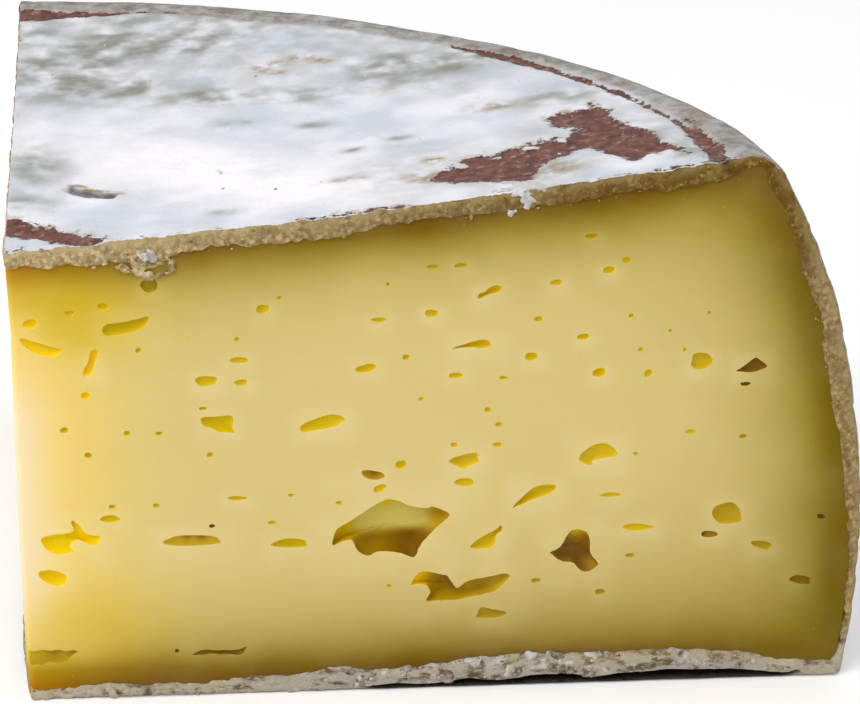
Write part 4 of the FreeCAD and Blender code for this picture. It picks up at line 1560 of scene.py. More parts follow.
@dataclass
class Rind:
    """Thin closed shell of rind over base, side and top, with a crumbly band along both cuts."""

    stage: Stage
    thickness: float = 2.0
    across: int = 150
    band_rows: int = 7
    band_proud: float = 0.22
    base_rows: int = 120
    foot_rows: int = 8
    side_rows: int = 112
    shoulder_rows: int = 22
    top_rows: int = 240
    inner_columns: int = 11
    top_band: Pairs = (
        (2, 2.3), (8, 2.4), (13, 2.6), (14.5, 3.0), (16.5, 3.4), (19, 3.3), (21, 2.3), (30, 2.5),
        (37, 2.6), (42, 2.2), (49, 2.1), (55, 2.5), (66, 2.4), (71, 2.4), (76, 2.5), (81, 2.5),
        (83.5, 1.6), (86, 1.3), (90, 1.3))
    side_band: Pairs = (
        (0, 2.6), (3, 1.0), (6, 0.9), (11, 1.1), (22, 1.6), (28, 2.3), (38, 2.9), (46, 2.4), (53, 2.6),
        (60, 2.2), (66, 2.3))
    base_band: Pairs = (
        (2, 1.4), (8, 1.5), (12, 2.1), (17, 1.5), (22, 1.6), (30, 2.2), (39, 2.9), (45, 2.9), (50, 3.3),
        (56, 4.1), (66, 4.3), (82, 4.2), (88, 3.3), (93, 2.4), (97, 1.9))
    split: BaseSplit = field(default_factory=BaseSplit)
    shoulder_line: float = 81.3
    shoulder_width: Pairs = (
        (0, 0.4), (4, 0.8), (8, 0.8), (11, 0.3), (14, 0.2), (30, 0.3), (34, 0.8), (41, 1.0), (46, 0.1),
        (54, -0.5), (72, -0.4), (80, 0.2), (86, 1.0), (89, 2.0), (92, 2.2))
    shoulder_drift: Pairs = ((0, 0.0), (74, 0.0), (82, 1.0), (87, 2.0))
    flank_rise: Pairs = ((0, 0.0), (40, 0.0), (62, 1.8), (80, 1.8), (92, 0.6))
    grain: Grain = field(default_factory=lambda: Grain(31))

    def section(self) -> tuple[Points, Points]:
        """Outline of the wheel from the base's middle over the side to the top's middle.

        Returns:
            Radius and height of each row, and the outward direction there.
        """
        wheel = self.stage.wheel
        side_x, side_z, side_arc = wheel.side_arc
        dish_x, dish_z, _ = wheel.dish_arc
        foot_x, foot_z = wheel.foot_centre
        rim_x, rim_z = wheel.rim_centre
        from_foot = math.atan2(foot_z - side_z, foot_x - side_x)
        from_rim = math.atan2(rim_z - side_z, rim_x - side_x)
        to_dish = math.atan2(dish_z - rim_z, dish_x - rim_x)
        arcs = (
            (foot_x, foot_z, wheel.foot_round, -math.pi / 2.0, from_foot, self.foot_rows),
            (side_x, side_z, side_arc, from_foot, from_rim, self.side_rows),
            (rim_x, rim_z, wheel.shoulder_round, from_rim, to_dish, self.shoulder_rows),
        )
        base = np.linspace(wheel.corner_inset, foot_x, self.base_rows, endpoint=False)
        rows = [np.stack([base, np.zeros_like(base)], axis=1)]
        ways = [np.tile((0.0, -1.0), (len(base), 1))]
        for middle_x, middle_z, arc, start, end, count in arcs:
            turn = np.linspace(start, end, count, endpoint=False)
            way = np.stack([np.cos(turn), np.sin(turn)], axis=1)
            rows.append(way * arc + (middle_x, middle_z))
            ways.append(way)
        rim = rim_x + wheel.shoulder_round * math.cos(to_dish)
        radius = np.linspace(rim, wheel.corner_inset, self.top_rows)
        top = np.stack([radius, wheel.top_height(radius)], axis=1)
        rows.append(top)
        ways.append((np.array([dish_x, dish_z]) - top) / wheel.dish_radius)
        return np.concatenate(rows), np.concatenate(ways)

    def bare(self, places: Points, to_cut: np.ndarray, ways_up: np.ndarray) -> np.ndarray:
        """How far points lie inside the bare patches, in millimetres, negative under the bloom.

        Args:
            places: Points on the outside.
            to_cut: Distance of each from the nearer knife cut.
            ways_up: Upward part of the outward direction there.

        Returns:
            Signed distances.
        """
        radius = np.hypot(places[:, 0], places[:, 1])
        turn = np.degrees(np.arctan2(places[:, 1], places[:, 0]))
        patches = np.full(len(places), -3.0)
        near = (radius < 84.0) & (places[:, 1] < 36.0) & (ways_up > 0.5)
        for patch in BARE_PATCHES:
            patches[near] = np.maximum(patches[near], patch.inside(places[near, :2]))
        patches[near] -= 2.4 * sum(spot.strength(places[near, :2]) for spot in REGROWN)
        breaks = 0.4 * self.grain.layered(places * (1.0, 1.0, 0.0) + 300.0, 8.0)
        middle = self.shoulder_line - read_off(self.shoulder_drift, turn)
        line = 2.0 * (read_off(self.shoulder_width, turn) + breaks - np.abs(radius - middle))
        line = np.where(ways_up > 0.2, line, -3.0)
        along_cut = -0.35 + 0.8 * self.grain.at(places + 60.0, 5.0) - to_cut
        worn = 3.2 * (self.grain.layered(places * (1.0, 1.0, 1.6) + 500.0, 11.0) - 0.52)
        worn = np.where(ways_up < 0.45, worn, -3.0)
        return np.clip(np.maximum.reduce([patches, line, along_cut, worn]), -3.0, 3.0)

    def spread(self, rows: Points, ways: Points) -> tuple[Points, Points, Points, np.ndarray]:
        """Outer surface points with their relief.

        Args:
            rows: Radius and height of each row.
            ways: Outward direction of each row.

        Returns:
            Points by row and column, their outward directions, the plain points, and the bare distances.
        """
        wheel = self.stage.wheel
        steps = 0.42 + 0.38 * np.sin(np.linspace(0.0, math.pi, self.across))
        turn = np.concatenate([[0.0], np.cumsum(steps)])
        turn = np.radians(turn / turn[-1] * wheel.wedge_angle)
        run = wheel.run(turn[None, :], rows[:, :1])
        x = wheel.corner_inset + run * np.cos(turn)
        y = run * np.sin(turn)
        z = np.broadcast_to(rows[:, 1:], x.shape)
        plain = np.stack([x, y, z], axis=-1)
        radius = np.maximum(np.hypot(x, y), 1e-6)
        way = np.stack([ways[:, :1] * x / radius, ways[:, :1] * y / radius,
                        np.broadcast_to(ways[:, 1:], x.shape)], axis=-1)
        flat, flat_way = plain.reshape(-1, 3), way.reshape(-1, 3)
        front_gap = flat[:, 1]
        angle = math.radians(wheel.wedge_angle)
        side_gap = (flat[:, 0] - wheel.corner_inset) * math.sin(angle) - flat[:, 1] * math.cos(angle)
        to_cut = np.minimum(front_gap, side_gap + 0.6)
        bare = self.bare(flat, to_cut, flat_way[:, 2])
        covered = 1.0 - smooth_step(bare + 0.9 * self.grain.at(flat + 20.0, 1.4), -0.25, 0.25)
        pillows = self.grain.layered(flat, 3.4, 3) * 0.10 + self.grain.layered(flat + 200.0, 12.0, 2) * 0.16
        pits = np.minimum(self.grain.at(flat + 700.0, 1.6) + 0.35, 0.0) * 0.16
        relief = pillows + pits + 0.20 * covered - 0.14
        turn_flat = np.degrees(np.arctan2(flat[:, 1], flat[:, 0]))
        level = np.hypot(flat[:, 0], flat[:, 1])
        relief = relief + 0.35 * smooth_step(turn_flat, 45.0, 75.0) * smooth_step(level, 70.0, 80.0)
        relief = relief + (0.40 * bell(flat[:, 2] - 48.0, 9.0) * bell(turn_flat, 14.0)
                           * smooth_step(level, 84.0, 88.0))
        relief = relief + self.crack_depth(flat)
        under = flat_way[:, 2] < -0.9
        relief = np.where(under, np.minimum(-0.02 + pillows * 0.3, 0.0), relief)
        foot = smooth_step(flat[:, 2], 0.0, 2.0)
        relief = np.where(under, relief, relief * foot)
        shape = flat + flat_way * relief[:, None]
        shape[:, 2] = np.maximum(shape[:, 2], 0.0)
        return shape.reshape(plain.shape), way, plain, bare.reshape(x.shape)

    def to_crack(self, places: Points) -> np.ndarray:
        """Distance of points on the top to the open crack."""
        nearest = np.full(len(places), 9.0)
        for start, end in zip(CRACK, CRACK[1:]):
            nearest = np.minimum(nearest, to_run(places[:, :2], np.array(start), np.array(end)))
        return np.where(places[:, 2] > 40.0, nearest, 9.0)

    def crack_depth(self, places: Points) -> np.ndarray:
        """Depth of the open crack in the top, as a negative height, with its lifted lip."""
        nearest = self.to_crack(places)
        return 0.22 * bell(nearest - 1.1, 0.5) - 0.7 * bell(nearest, 0.45)

    def depth_at(self, rows: Points, ways: Points, seed: float, follow: bool) -> np.ndarray:
        """Thickness of the rind along a cut.

        Args:
            rows: Radius and height of each row.
            ways: Outward direction of each row.
            seed: Shifts its unevenness.
            follow: Use the front cut's own thicknesses; else the plain ones swapped about.

        Returns:
            One thickness for each row.
        """
        radius, up = rows.T
        place = radius if follow else mirrored_place(radius)
        on_top, on_base = read_off(self.top_band, place), read_off(self.base_band, place)
        on_side = read_off(self.side_band, up)
        top_share = smooth_step(ways[:, 1], 0.55, 0.95)
        base_share = smooth_step(-ways[:, 1], 0.55, 0.95)
        even = on_top * top_share + on_base * base_share + on_side * (1.0 - top_share - base_share)
        spot = np.stack([radius, up, np.full_like(up, seed)], axis=1)
        rough = 0.42 * self.grain.layered(spot, 2.2, 3) + 0.16 * self.grain.at(spot + 40.0, 0.5)
        return np.maximum(even + rough, 0.55)

    def opening(self, rows: Points, ways: Points, follow: bool) -> tuple[np.ndarray, np.ndarray]:
        """Height of the base's split on each row, and how open it is there."""
        place = rows[:, 0] if follow else mirrored_place(rows[:, 0])
        height = np.where(ways[:, 1] < -0.95, self.split.at(place), 0.0)
        return height, smooth_step(height, 0.1, 0.35)

    def band(self, cut: Cut, rows: Points, ways: Points, outer: Points, depth: np.ndarray,
             opening: tuple[np.ndarray, np.ndarray]) -> Points:
        """Granular cut edge of the rind on one cut.

        Args:
            cut: The cut.
            rows: Radius and height of each row.
            ways: Outward direction of each row.
            outer: The outer surface's edge on this cut.
            depth: Thickness of each row.
            opening: Height and openness of the base's split on each row.

        Returns:
            Points by row and step inwards.
        """
        split, is_open = opening
        ahead = np.array([*cut.ahead, 0.0])
        inward = np.array([*cut.inward, 0.0])
        upward = np.array([0.0, 0.0, 1.0])
        way = -(np.multiply.outer(ways[:, 0], ahead) + np.multiply.outer(ways[:, 1], upward))
        steps = depth[:, None] * np.arange(1, self.band_rows + 1)[None, :] / self.band_rows
        above = split + 0.34
        skin = np.full_like(split, self.split.skin)
        heights = [skin, np.full_like(split, self.split.skin + 0.10), split + 0.18, above]
        heights += [above + (depth - above) * part / 3.0 for part in (1, 2, 3)]
        parted = np.stack(heights, axis=1)
        steps = steps * (1.0 - is_open[:, None]) + parted * is_open[:, None]
        flat = outer[:, None, :] + way[:, None, :] * steps[:, :, None]
        spots = flat.reshape(-1, 3)
        lumps = 0.22 * self.grain.layered(spots + 10.0, 1.5, 2) + 0.10 * self.grain.at(spots + 33.0, 0.55)
        proud = self.band_proud + lumps.reshape(flat.shape[:2])
        on_base = smooth_step(-ways[:, 1], 0.5, 0.95)[:, None]
        near_foot = (1.0 - smooth_step(rows[:, 0], 5.0, 14.0)) * (1.0 - smooth_step(rows[:, 1], 2.0, 8.0))
        proud = proud + 0.25 * on_base - 0.45 * near_foot[:, None]
        fade = np.ones(self.band_rows)
        fade[-1], fade[0] = 0.0, 0.75
        proud = proud * fade[None, :] - 0.35 * (1.0 - np.minimum(fade * 9.0, 1.0))[None, :]
        proud[:, 1:3] = proud[:, 1:3] * (1.0 - is_open[:, None]) - self.split.recess * is_open[:, None]
        return flat - inward * proud[:, :, None]

    def shell(self) -> tuple[Piece, dict[str, np.ndarray]]:
        """The closed shell and the numbers its material reads."""
        wheel = self.stage.wheel
        paste = Paste(self.stage)
        front, side = paste.cuts
        rows, ways = self.section()
        outer, way, plain, bare = self.spread(rows, ways)
        count = len(rows)
        front_depth = self.depth_at(rows, ways, 0.0, True)
        side_depth = self.depth_at(rows, ways, 77.0, False)
        front_open = self.opening(rows, ways, True)
        side_open = self.opening(rows, ways, False)
        front_band = self.band(front, rows, ways, outer[:, 0], front_depth, front_open)
        side_band = self.band(side, rows, ways, outer[:, -1], side_depth, side_open)
        inner_turn = np.radians(np.linspace(wheel.wedge_angle, 0.0, self.inner_columns + 2)[1:-1])
        inner_rows = rows - ways * self.thickness
        radius = np.maximum(inner_rows[:, :1], wheel.corner_inset + 0.05)
        run = wheel.run(inner_turn[None, :], radius)
        inner = np.stack([wheel.corner_inset + run * np.cos(inner_turn), run * np.sin(inner_turn),
                          np.broadcast_to(inner_rows[:, 1:], run.shape)], axis=-1)
        ring = np.concatenate([outer, side_band, inner, front_band[:, ::-1]], axis=1)
        columns = ring.shape[1]
        index = np.arange(count * columns).reshape(count, columns)
        side_start = self.across + 1
        inner_start = side_start + self.band_rows
        front_start = inner_start + self.inner_columns
        for row in (0, count - 1):
            index[row, :side_start] = index[row, 0]
            ring[row, 0] = (wheel.corner_inset, 0.0, rows[row, 1])
            for step in range(self.band_rows):
                mirror = front_start + self.band_rows - 1 - step
                shared = (ring[row, side_start + step] + ring[row, mirror]) / 2.0
                ring[row, side_start + step] = shared
                index[row, mirror] = index[row, side_start + step]
            index[row, inner_start:front_start] = index[row, inner_start - 1]
        closed = np.concatenate([index, index[:, :1]], axis=1)
        faces = grid_faces(closed, False)
        ring[..., 0] += wheel.corner_wear(ring.reshape(-1, 3)).reshape(count, columns)
        used = np.unique(closed)
        number = dict(zip(used.tolist(), range(len(used))))
        faces = [tuple(number[corner] for corner in face) for face in faces]
        piece = self.stage.mesh("rind", ring.reshape(-1, 3)[used], faces)
        paste.outward(piece)
        values = self.numbers(ring, plain, way, bare, side_start, inner_start, front_start)
        # Painted shadow: the split's lowest band rows are coloured near black where it opens.
        for step, share in enumerate(self.split.split_shade):
            values["crack"][:, side_start + step] = share * side_open[1]
            values["crack"][:, columns - 1 - step] = share * front_open[1]
        # Painted shadow in the band's holes and cracks.
        for along, depth, up, half in GAP_SHADOWS:
            scar = np.exp(-((ring - (along, depth, up)) ** 2).sum(axis=-1) / half**2)
            values["crack"] = np.maximum(values["crack"], 0.85 * scar)
        stored = {name: value.reshape(-1)[used] for name, value in values.items()}
        hollow = cavities(piece, 4)
        stored["pit"] = hollow / np.percentile(np.abs(hollow[stored["edge"] > 0.5]), 90.0)
        return piece, stored

    def numbers(self, ring: Points, plain: Points, way: Points, bare: np.ndarray,
                side_start: int, inner_start: int, front_start: int) -> dict[str, np.ndarray]:
        """The numbers for the material, one for each point of the ring grid.

        Args:
            ring: All points by row and column.
            plain: Outer points without relief.
            way: Outward directions of the outer points.
            bare: Bare distances of the outer points.
            side_start: First column of the side cut's band.
            inner_start: First column inside.
            front_start: First column of the front cut's band.

        Returns:
            Arrays by attribute name.
        """
        shape = ring.shape[:2]
        flat = plain.reshape(-1, 3)
        names = ("bare", "mottle", "white", "stain", "flank", "edge", "deep", "lip", "foot", "crack", "warm")
        values = {name: np.zeros(shape) for name in names}
        values["bare"][:] = -3.0
        values["bare"][:, :side_start] = bare
        cloudy = smooth_step(self.grain.layered(flat + 400.0, 16.0), -0.05, 0.55) * 0.45
        far = smooth_step(flat[:, 1], 34.0, 58.0) * 0.42
        mottle, white, stain = (sum(spot.strength(flat[:, :2]) for spot in spots)
                                for spots in (MOTTLES, WHITES, STAINS))
        stain = stain + 3.0 * bell(self.to_crack(flat + (-0.7, -1.1, 0.0)), 0.6)
        on_top = way.reshape(-1, 3)[:, 2] > 0.5
        outside = {
            # Painted shadow inside the open crack in the top.
            "crack": 0.85 * bell(self.to_crack(flat + (-0.25, -0.4, 0.0)), 0.4),
            "mottle": np.where(on_top, mottle, 0.0) + cloudy + far,
            "white": np.where(on_top, white, 0.0),
            "stain": np.where(on_top, stain, 0.0),
        }
        for name, strength in outside.items():
            values[name][:, :side_start] = np.clip(strength, 0.0, 1.0).reshape(plain.shape[:2])
        radius = np.hypot(plain[..., 0], plain[..., 1])
        turn = np.degrees(np.arctan2(plain[..., 1], plain[..., 0]))
        outwards = radius + 0.8 * self.grain.layered(flat, 4.0).reshape(radius.shape)
        over_rim = smooth_step(outwards + read_off(self.flank_rise, turn), 81.0, 83.2)
        flank = np.maximum(over_rim * 0.85, 1.0 - smooth_step(way[..., 2], 0.35, 0.80))
        values["flank"][:, :side_start] = flank
        values["edge"][:, side_start:] = 1.0
        reach = np.hypot(ring[..., 0], ring[..., 1])
        beside = smooth_step(62.0 - ring[..., 2], 0.0, 14.0) * smooth_step(reach, 89.0, 94.0)
        values["deep"] = smooth_step(reach, 2.0, 84.0) - 0.50 * beside
        lip = 1.0 - np.arange(1, self.band_rows + 1) / self.band_rows
        values["lip"][:, side_start:inner_start] = smooth_step(lip, 0.35, 0.95)
        values["lip"][:, front_start:] = smooth_step(lip[::-1], 0.35, 0.95)
        high = self.grain.layered(ring.reshape(-1, 3) + 5.0, 3.0).reshape(shape)
        values["foot"] = 1.0 - smooth_step(ring[..., 2] + 0.8 * high, 3.6, 6.5)
        values["warm"] = warmth(self.stage.wheel.along_cut(ring.reshape(-1, 3))).reshape(shape)
        return values

    def build(self) -> Piece:
        """Build and dress the rind."""
        piece, values = self.shell()
        for name, numbers in values.items():
            set_values(piece, name, numbers)
        piece.data.materials.append(RindFinish().build())
        shade_smooth(piece, 55.0)
        return piece


# ----------------------------------------------------------------------------- crumbs


@dataclass(frozen=True)
class Lump:
    """One loose or half-loose grain: its place and its three half sizes."""

    place: tuple[float, float, float]
    half: tuple[float, float, float]


FLAKE_CLUSTER = (
    (58.9, 0.3, 0.75), (59.8, 0.5, 0.7), (60.6, 0.3, 0.55), (59.3, 1.1, 0.75), (60.1, 1.3, 0.6),
    (59.6, 1.9, 0.6), (58.2, 0.2, 0.5), (57.6, 0.5, 0.35), (57.3, 2.0, 0.3), (57.7, 2.6, 0.4),
    (58.2, 2.3, 0.25), (61.4, 0.4, 0.4),
)
EDGE_CLUSTER = (
    (13.9, 54.0, 0.55), (14.3, 53.1, 0.55), (15.1, 52.6, 0.50), (16.0, 52.5, 0.55), (16.8, 52.1, 0.60),
    (17.7, 51.9, 0.60), (18.6, 52.0, 0.55), (19.5, 52.2, 0.45), (20.1, 52.7, 0.40), (20.1, 53.4, 0.45),
    (16.0, 53.4, 0.65), (17.0, 53.1, 0.70), (18.0, 53.1, 0.60), (18.6, 53.7, 0.55), (15.8, 54.2, 0.60),
    (15.2, 54.3, 0.40), (12.8, 53.4, 0.40), (11.6, 53.0, 0.35),
)
EDGE_FLAKES = ((17.3, 54.2, 0.75), (18.1, 54.0, 0.65), (16.7, 54.4, 0.5), (17.8, 54.7, 0.6))


@dataclass
class Crumbs:
    """Grains of one kind, made as rough balls and joined into one piece."""

    stage: Stage
    name: str
    finish: CrumbFinish
    lumps: list[Lump]
    detail: int
    roughness: float
    seed: int
    voxel: float
    on_base: bool = False
    weathering: float = 0.0

    def ball(self) -> tuple[Points, np.ndarray]:
        """Vertices and triangles of a unit ball."""
        work = bmesh.new()
        bmesh.ops.create_icosphere(work, subdivisions=self.detail, radius=1.0)
        places = np.array([vertex.co[:] for vertex in work.verts])
        faces = np.array([[vertex.index for vertex in face.verts] for face in work.faces])
        work.free()
        return places, faces

    def melt(self, piece: Piece) -> None:
        """Run touching grains together into one crust."""
        change = piece.modifiers.new("melt", "REMESH")
        change.mode = "VOXEL"
        change.voxel_size = self.voxel * MM
        settle(piece)

    def weathered(self, piece: Piece, grain: Grain) -> Points:
        """Roughen the crust along its own normals, in fibres that lie level.

        Args:
            piece: The melted piece.
            grain: Source of the roughness.

        Returns:
            Its vertices afterwards, in millimetres about the wheel's axis.
        """
        shape = self.stage.places(piece)
        normals = read(piece.data.vertices, "normal", 3)
        depth = self.weathering * (grain.layered(shape * (0.55, 0.55, 1.3) + 11.0, 1.1, 2)
                                   + 0.6 * grain.at(shape * (0.7, 0.7, 1.2) + 90.0, 0.45))
        shape = shape + normals * depth[:, None]
        shape[:, 2] = np.maximum(shape[:, 2], 0.02)
        piece.data.vertices.foreach_set("co", ((shape + self.stage.shift) * MM).astype(np.float32).ravel())
        piece.data.update()
        return shape

    def build(self) -> Piece:
        """Build and dress the grains."""
        ball, triangles = self.ball()
        grain = Grain(self.seed)
        draw = np.random.default_rng(self.seed)
        places, faces = [], []
        for number, lump in enumerate(self.lumps):
            turn = np.array(Matrix.Rotation(draw.uniform(0.0, math.tau), 3, "Y")
                            @ Matrix.Rotation(draw.uniform(-0.5, 0.5), 3, "X"))
            rough = 1.0 + self.roughness * grain.layered(ball + number * 9.7, 1.1, 2)
            knobs = 1.0 + 0.6 * self.roughness * grain.at(ball + number * 5.3, 0.40)
            chip = np.ones(3) if self.on_base else draw.uniform(0.45, 1.35, 3)
            shape = (ball * (rough * knobs)[:, None] * chip) @ turn.T * lump.half + lump.place
            shape[:, 2] = np.maximum(shape[:, 2], 0.02)
            faces.append(triangles + number * len(ball))
            places.append(shape)
        piece = self.stage.mesh(self.name, np.concatenate(places), np.concatenate(faces).tolist())
        self.melt(piece)
        shape = self.weathered(piece, grain)
        hollow = cavities(piece, 4)
        set_values(piece, "own", smooth_step(grain.layered(shape, 1.5, 2), -0.2, 0.7))
        set_values(piece, "pit", hollow / np.percentile(np.abs(hollow), 85.0))
        reach = self.stage.wheel.along_cut(shape)
        set_values(piece, "warm", warmth(reach) if self.on_base else smooth_step(reach, 0.0, 82.0))
        piece.data.materials.append(self.finish.build())
        shade_smooth(piece, 60.0)
        return piece


@dataclass
class Litter:
    """Where the grains lie: along the foot of the cuts, along the rind's edge, and on the top."""

    stage: Stage
    rind: Rind
    lump_seed: int = 41
    crumb_seed: int = 42
    flake_seed: int = 43
    foot_end: float = 89.0
    foot_grains: int = 110
    top_grains: int = 110
    side_grains: int = 60
    pile_flakes: int = 20
    stray_flakes: int = 50
    top_reach: float = 79.0

    def on_cut(self, cut: Cut, radius: float, up: float, out: float) -> tuple[float, float, float]:
        """A place just outside a cut, by its distance from the wheel's axis."""
        place = cut.place(np.array([radius - cut.origin[0]]), np.array([up]), np.array([-out]))[0]
        return (float(place[0]), float(place[1]), float(place[2]))

    def top_at(self, radius: float) -> float:
        """Height of the top at one radius."""
        return float(self.stage.wheel.top_height(np.array(radius)))

    def foot(self, radius: float, on_front: bool) -> tuple[float, float, float]:
        """Where the base band's sizes are read, its height there, and the height of its split."""
        place = radius if on_front else float(mirrored_place(np.array(radius)))
        tall = float(read_off(self.rind.base_band, place))
        return place, tall, float(self.rind.split.at(np.array(place)))

    def grain_size(self, draw: np.random.Generator, usual: float, spread: float, most: float,
                   least: float = 0.13) -> float:
        """Draw half the size of a grain, e to the power of usual on average."""
        return float(np.clip(draw.lognormal(usual, spread), least, most))

    def base_lumps(self, cuts: tuple[Cut, Cut]) -> list[Lump]:
        """Broken rind along the foot of both cuts: large lumps in a row, then small ones between.

        Args:
            cuts: The front cut and the side cut.

        Returns:
            The lumps.
        """
        draw = np.random.default_rng(self.lump_seed)
        lumps = []
        for cut in cuts:
            on_front = cut is cuts[0]
            first = 3.0 if on_front else 9.0
            radius = 3.6 if on_front else 9.0
            wanted = []
            while radius < self.foot_end:
                place, tall, split = self.foot(radius, on_front)
                low = split + 0.35 * min(split * 4.0, 1.0)
                spot = np.array(place)
                big = float(smooth_step(spot, 24.0, 44.0) * (1.0 - smooth_step(spot, 82.0, 90.0)))
                wide = draw.uniform(0.8, 2.0) * (0.42 + 0.75 * big)
                half_up = max((tall - low) / 2.0 * draw.uniform(0.55, 1.0) * (0.7 + 0.3 * big), 0.28)
                middle = low + half_up * 0.80 + max(tall - low - 2.0 * half_up, 0.0) * draw.uniform(0.0, 1.0)
                out = draw.uniform(-0.25, 0.05) * (0.5 + 0.5 * big) - (0.0 if on_front else 0.40)
                half = (wide, draw.uniform(0.38, 0.62) * (0.7 + 0.3 * big), half_up)
                wanted.append((radius, middle, out, half))
                radius += wide * draw.uniform(0.35, 0.75)
            for _ in range(self.foot_grains):
                radius = draw.uniform(first, self.foot_end)
                _, tall, split = self.foot(radius, on_front)
                size = self.grain_size(draw, -1.2, 0.35, 0.5, 0.2)
                middle = split + 0.3 + max(tall - split - 0.5, 0.1) * draw.uniform(0.0, 1.0)
                out = draw.uniform(0.0, 0.25) - (0.0 if on_front else 0.45)
                wanted.append((radius, middle, out, (size * 1.5, size * 0.7, size * 0.8)))
            for radius, middle, out, (wide, thick, tall) in wanted:
                half = (wide, thick, tall) if on_front else (thick, wide, tall)
                lumps.append(Lump(self.on_cut(cut, radius, middle, out), half))
        return lumps

    def edge_crumbs(self, cuts: tuple[Cut, Cut]) -> list[Lump]:
        """Small crumbs along the inner edge of the top and side bands.

        Args:
            cuts: The front cut and the side cut.

        Returns:
            The crumbs.
        """
        draw = np.random.default_rng(self.crumb_seed)
        lumps = []
        for cut in cuts:
            deeper = 0.0 if cut is cuts[0] else 0.2
            for _ in range(self.top_grains):
                radius = draw.uniform(3.0, 86.0)
                thick = float(read_off(self.rind.top_band, radius))
                up = self.top_at(radius) - thick * draw.uniform(0.1, 1.08)
                size = self.grain_size(draw, -1.7, 0.4, 0.5)
                out = draw.uniform(0.0, 0.28) - deeper
                lumps.append(Lump(self.on_cut(cut, radius, up, out), (size, size * 0.8, size * 0.75)))
            for _ in range(self.side_grains):
                up = draw.uniform(4.0, 62.0)
                thick = float(read_off(self.rind.side_band, up))
                rim = float(self.stage.wheel.side_radius(np.array(up)))
                size = self.grain_size(draw, -1.6, 0.35, 0.4)
                radius = rim - thick * draw.uniform(0.1, 1.05)
                out = draw.uniform(0.0, 0.25) - deeper
                lumps.append(Lump(self.on_cut(cut, radius, up, out), (size * 0.8, size * 0.8, size)))
        for radius, up, half in EDGE_CLUSTER:
            place = self.on_cut(cuts[0], radius, up, draw.uniform(0.0, 0.2))
            lumps.append(Lump(place, (half * 1.1, half * 0.8, half * draw.uniform(0.65, 0.9))))
        return lumps

    def flakes(self, cuts: tuple[Cut, Cut]) -> list[Lump]:
        """White bloom flakes: a hanging cluster on the front edge and grains on the top.

        Args:
            cuts: The front cut and the side cut.

        Returns:
            The flakes.
        """
        draw = np.random.default_rng(self.flake_seed)
        lumps = []
        for radius, drop, half in FLAKE_CLUSTER:
            place = self.on_cut(cuts[0], radius, self.top_at(radius) - drop, draw.uniform(-0.1, 0.1))
            lumps.append(Lump(place, (half, half * 0.5, half * 0.85)))
        for radius, up, half in EDGE_FLAKES:
            lumps.append(Lump(self.on_cut(cuts[0], radius, up, 0.3), (half, half * 0.8, half * 0.8)))
        for _ in range(self.pile_flakes):
            x, y = 58.8 + draw.normal(0.0, 1.3), 0.3 + abs(draw.normal(0.0, 1.8))
            half = draw.uniform(0.5, 1.0)
            lumps.append(Lump((x, y, self.top_at(math.hypot(x, y)) + 0.02), (half, half, half * 0.35)))
        for _ in range(self.stray_flakes):
            turn, radius = draw.uniform(0.04, 1.56), math.sqrt(draw.uniform(0.01, 1.0)) * self.top_reach
            half = self.grain_size(draw, -1.8, 0.3, 0.3, 0.12)
            x, y = radius * math.cos(turn) + 2.0, radius * math.sin(turn)
            if math.hypot(x, y) < self.top_reach:
                up = self.top_at(math.hypot(x, y)) + half * 0.3
                lumps.append(Lump((x, y, up), (half, half, half * 0.7)))
        return lumps


# ------------------------------------------------------------------- studio and camera


@dataclass
class Studio:
    """Pale floor, even white light and a soft key from the left."""

    floor_half: float = 1.0
    sky: float = 0.71
    key_energy: float = 6.0

    def floor(self) -> Piece:
        """Lay the floor under the cheese."""
        half = self.floor_half
        data = bpy.data.meshes.new("floor")
        data.from_pydata([(-half, -half, 0.0), (half, -half, 0.0), (half, half, 0.0), (-half, half, 0.0)],
                         [], [(0, 1, 2, 3)])
        piece = bpy.data.objects.new("floor", data)
        bpy.context.scene.collection.objects.link(piece)
        data.materials.append(FloorFinish().build())
        return piece

    def world(self) -> None:
        """Set an even white sky that shows as plain white."""
        world = bpy.data.worlds.new("studio")
        world.use_nodes = True
        bpy.context.scene.world = world
        tree = world.node_tree
        background = tree.nodes["Background"]
        background.inputs["Color"].default_value = (1.0, 1.0, 1.0, 1.0)
        ray = tree.nodes.new("ShaderNodeLightPath")
        strength = tree.nodes.new("ShaderNodeMapRange")
        strength.inputs["To Min"].default_value = self.sky
        strength.inputs["To Max"].default_value = 1.0
        tree.links.new(ray.outputs["Is Camera Ray"], strength.inputs["Value"])
        tree.links.new(strength.outputs["Result"], background.inputs["Strength"])

    def lamp(self, name: str, place: Vector, size: float, energy: float) -> None:
        """Hang one soft square lamp aimed at the cheese.

        Args:
            name: Name of the lamp.
            place: Its place, in metres.
            size: Its side, in metres.
            energy: Its power, in watts.
        """
        data = bpy.data.lights.new(name, "AREA")
        data.shape = "SQUARE"
        data.size = size
        data.energy = energy
        lamp = bpy.data.objects.new(name, data)
        bpy.context.scene.collection.objects.link(lamp)
        lamp.location = place
        lamp.rotation_euler = (Vector((0.0, 0.0, 0.03)) - place).to_track_quat("-Z", "Y").to_euler()

    def build(self) -> Piece:
        """Build the floor, the sky and the lamp."""
        self.world()
        self.lamp("key", Vector((-0.55, -0.55, 0.85)), 0.6, self.key_energy)
        bpy.context.scene.view_settings.view_transform = "Standard"
        return self.floor()


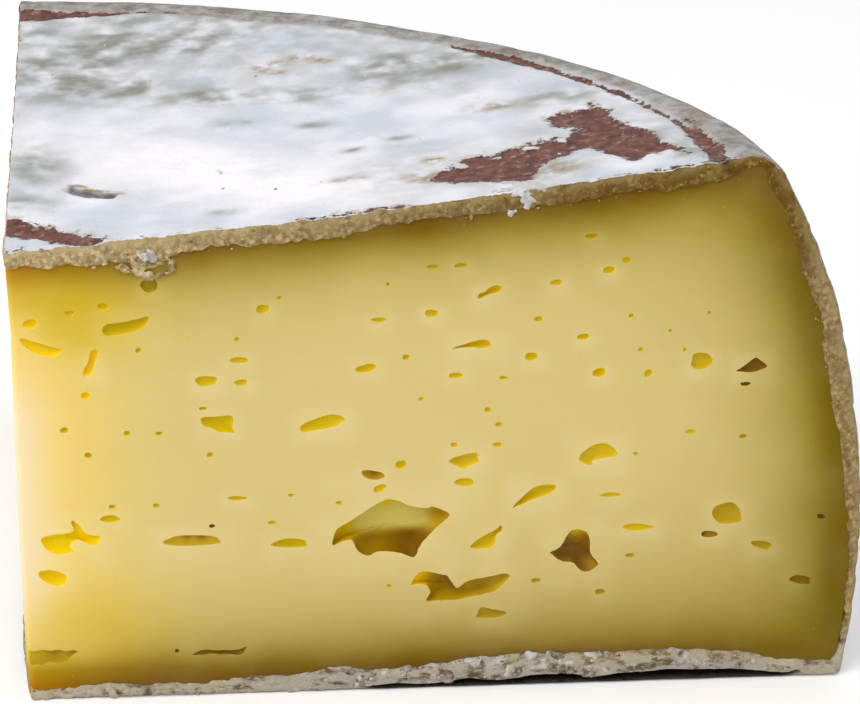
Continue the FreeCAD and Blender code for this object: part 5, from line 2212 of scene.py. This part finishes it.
@dataclass(frozen=True)
class View:
    """Camera before the front cut, a little above it."""

    place: tuple[float, float, float] = (-0.02679, -0.30407, 0.13410)
    yaw: float = 5.9045
    pitch: float = 19.7709
    roll: float = 0.9739
    lens: float = 100.47

    def build(self) -> Piece:
        """Make the camera and look through it."""
        yaw, pitch, roll = (math.radians(angle) for angle in (self.yaw, self.pitch, self.roll))
        ahead = Vector((math.sin(yaw) * math.cos(pitch), math.cos(yaw) * math.cos(pitch), -math.sin(pitch)))
        right = Vector((math.cos(yaw), -math.sin(yaw), 0.0))
        up = right.cross(ahead)
        tilted = right * math.cos(roll) + up * math.sin(roll)
        upright = up * math.cos(roll) - right * math.sin(roll)
        data = bpy.data.cameras.new("view")
        data.lens = self.lens
        data.sensor_width = 36.0
        camera = bpy.data.objects.new("view", data)
        bpy.context.scene.collection.objects.link(camera)
        camera.matrix_world = Matrix.Translation(self.place) @ Matrix(
            (tilted, upright, -ahead)).transposed().to_4x4()
        bpy.context.scene.camera = camera
        return camera


BASE_CRUMB = CrumbFinish("base_crumb", (170, 161, 146), (92, 68, 46), (208, 203, 196), (184, 172, 146))
EDGE_CRUMB = CrumbFinish("edge_crumb", (192, 166, 114), (112, 82, 40), (214, 198, 160), (136, 108, 28))
BLOOM_FLAKE = CrumbFinish("bloom_flake", (202, 200, 198), (168, 160, 146), (226, 226, 230), (202, 200, 198))


def main() -> None:
    """Build every piece in order and put it on the frame."""
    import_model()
    stage = Stage()
    paste = Paste(stage)
    rind = Rind(stage)
    litter = Litter(stage, rind)
    cuts = paste.cuts
    kinds = (
        Crumbs(stage, "base_lumps", BASE_CRUMB, litter.base_lumps(cuts), detail=3, roughness=0.42,
               seed=51, voxel=0.17, on_base=True, weathering=0.22),
        Crumbs(stage, "rind_crumbs", EDGE_CRUMB, litter.edge_crumbs(cuts), detail=2, roughness=0.60,
               seed=52, voxel=0.10),
        Crumbs(stage, "bloom_flakes", BLOOM_FLAKE, litter.flakes(cuts), detail=2, roughness=0.50,
               seed=53, voxel=0.11, weathering=0.10),
    )
    pieces = [(paste.build(), "paste"), (rind.build(), "rind")]
    pieces += [(kind.build(), "rind") for kind in kinds]
    for piece, slot in pieces:
        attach(piece, "root")
        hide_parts(NODE)
        LOG.info("%s: %d faces, slot %s", piece.name, len(piece.data.polygons), slot)
    Studio().build()
    View().build()


if __name__ == "__main__":
    logging.basicConfig(level=logging.INFO)
    main()
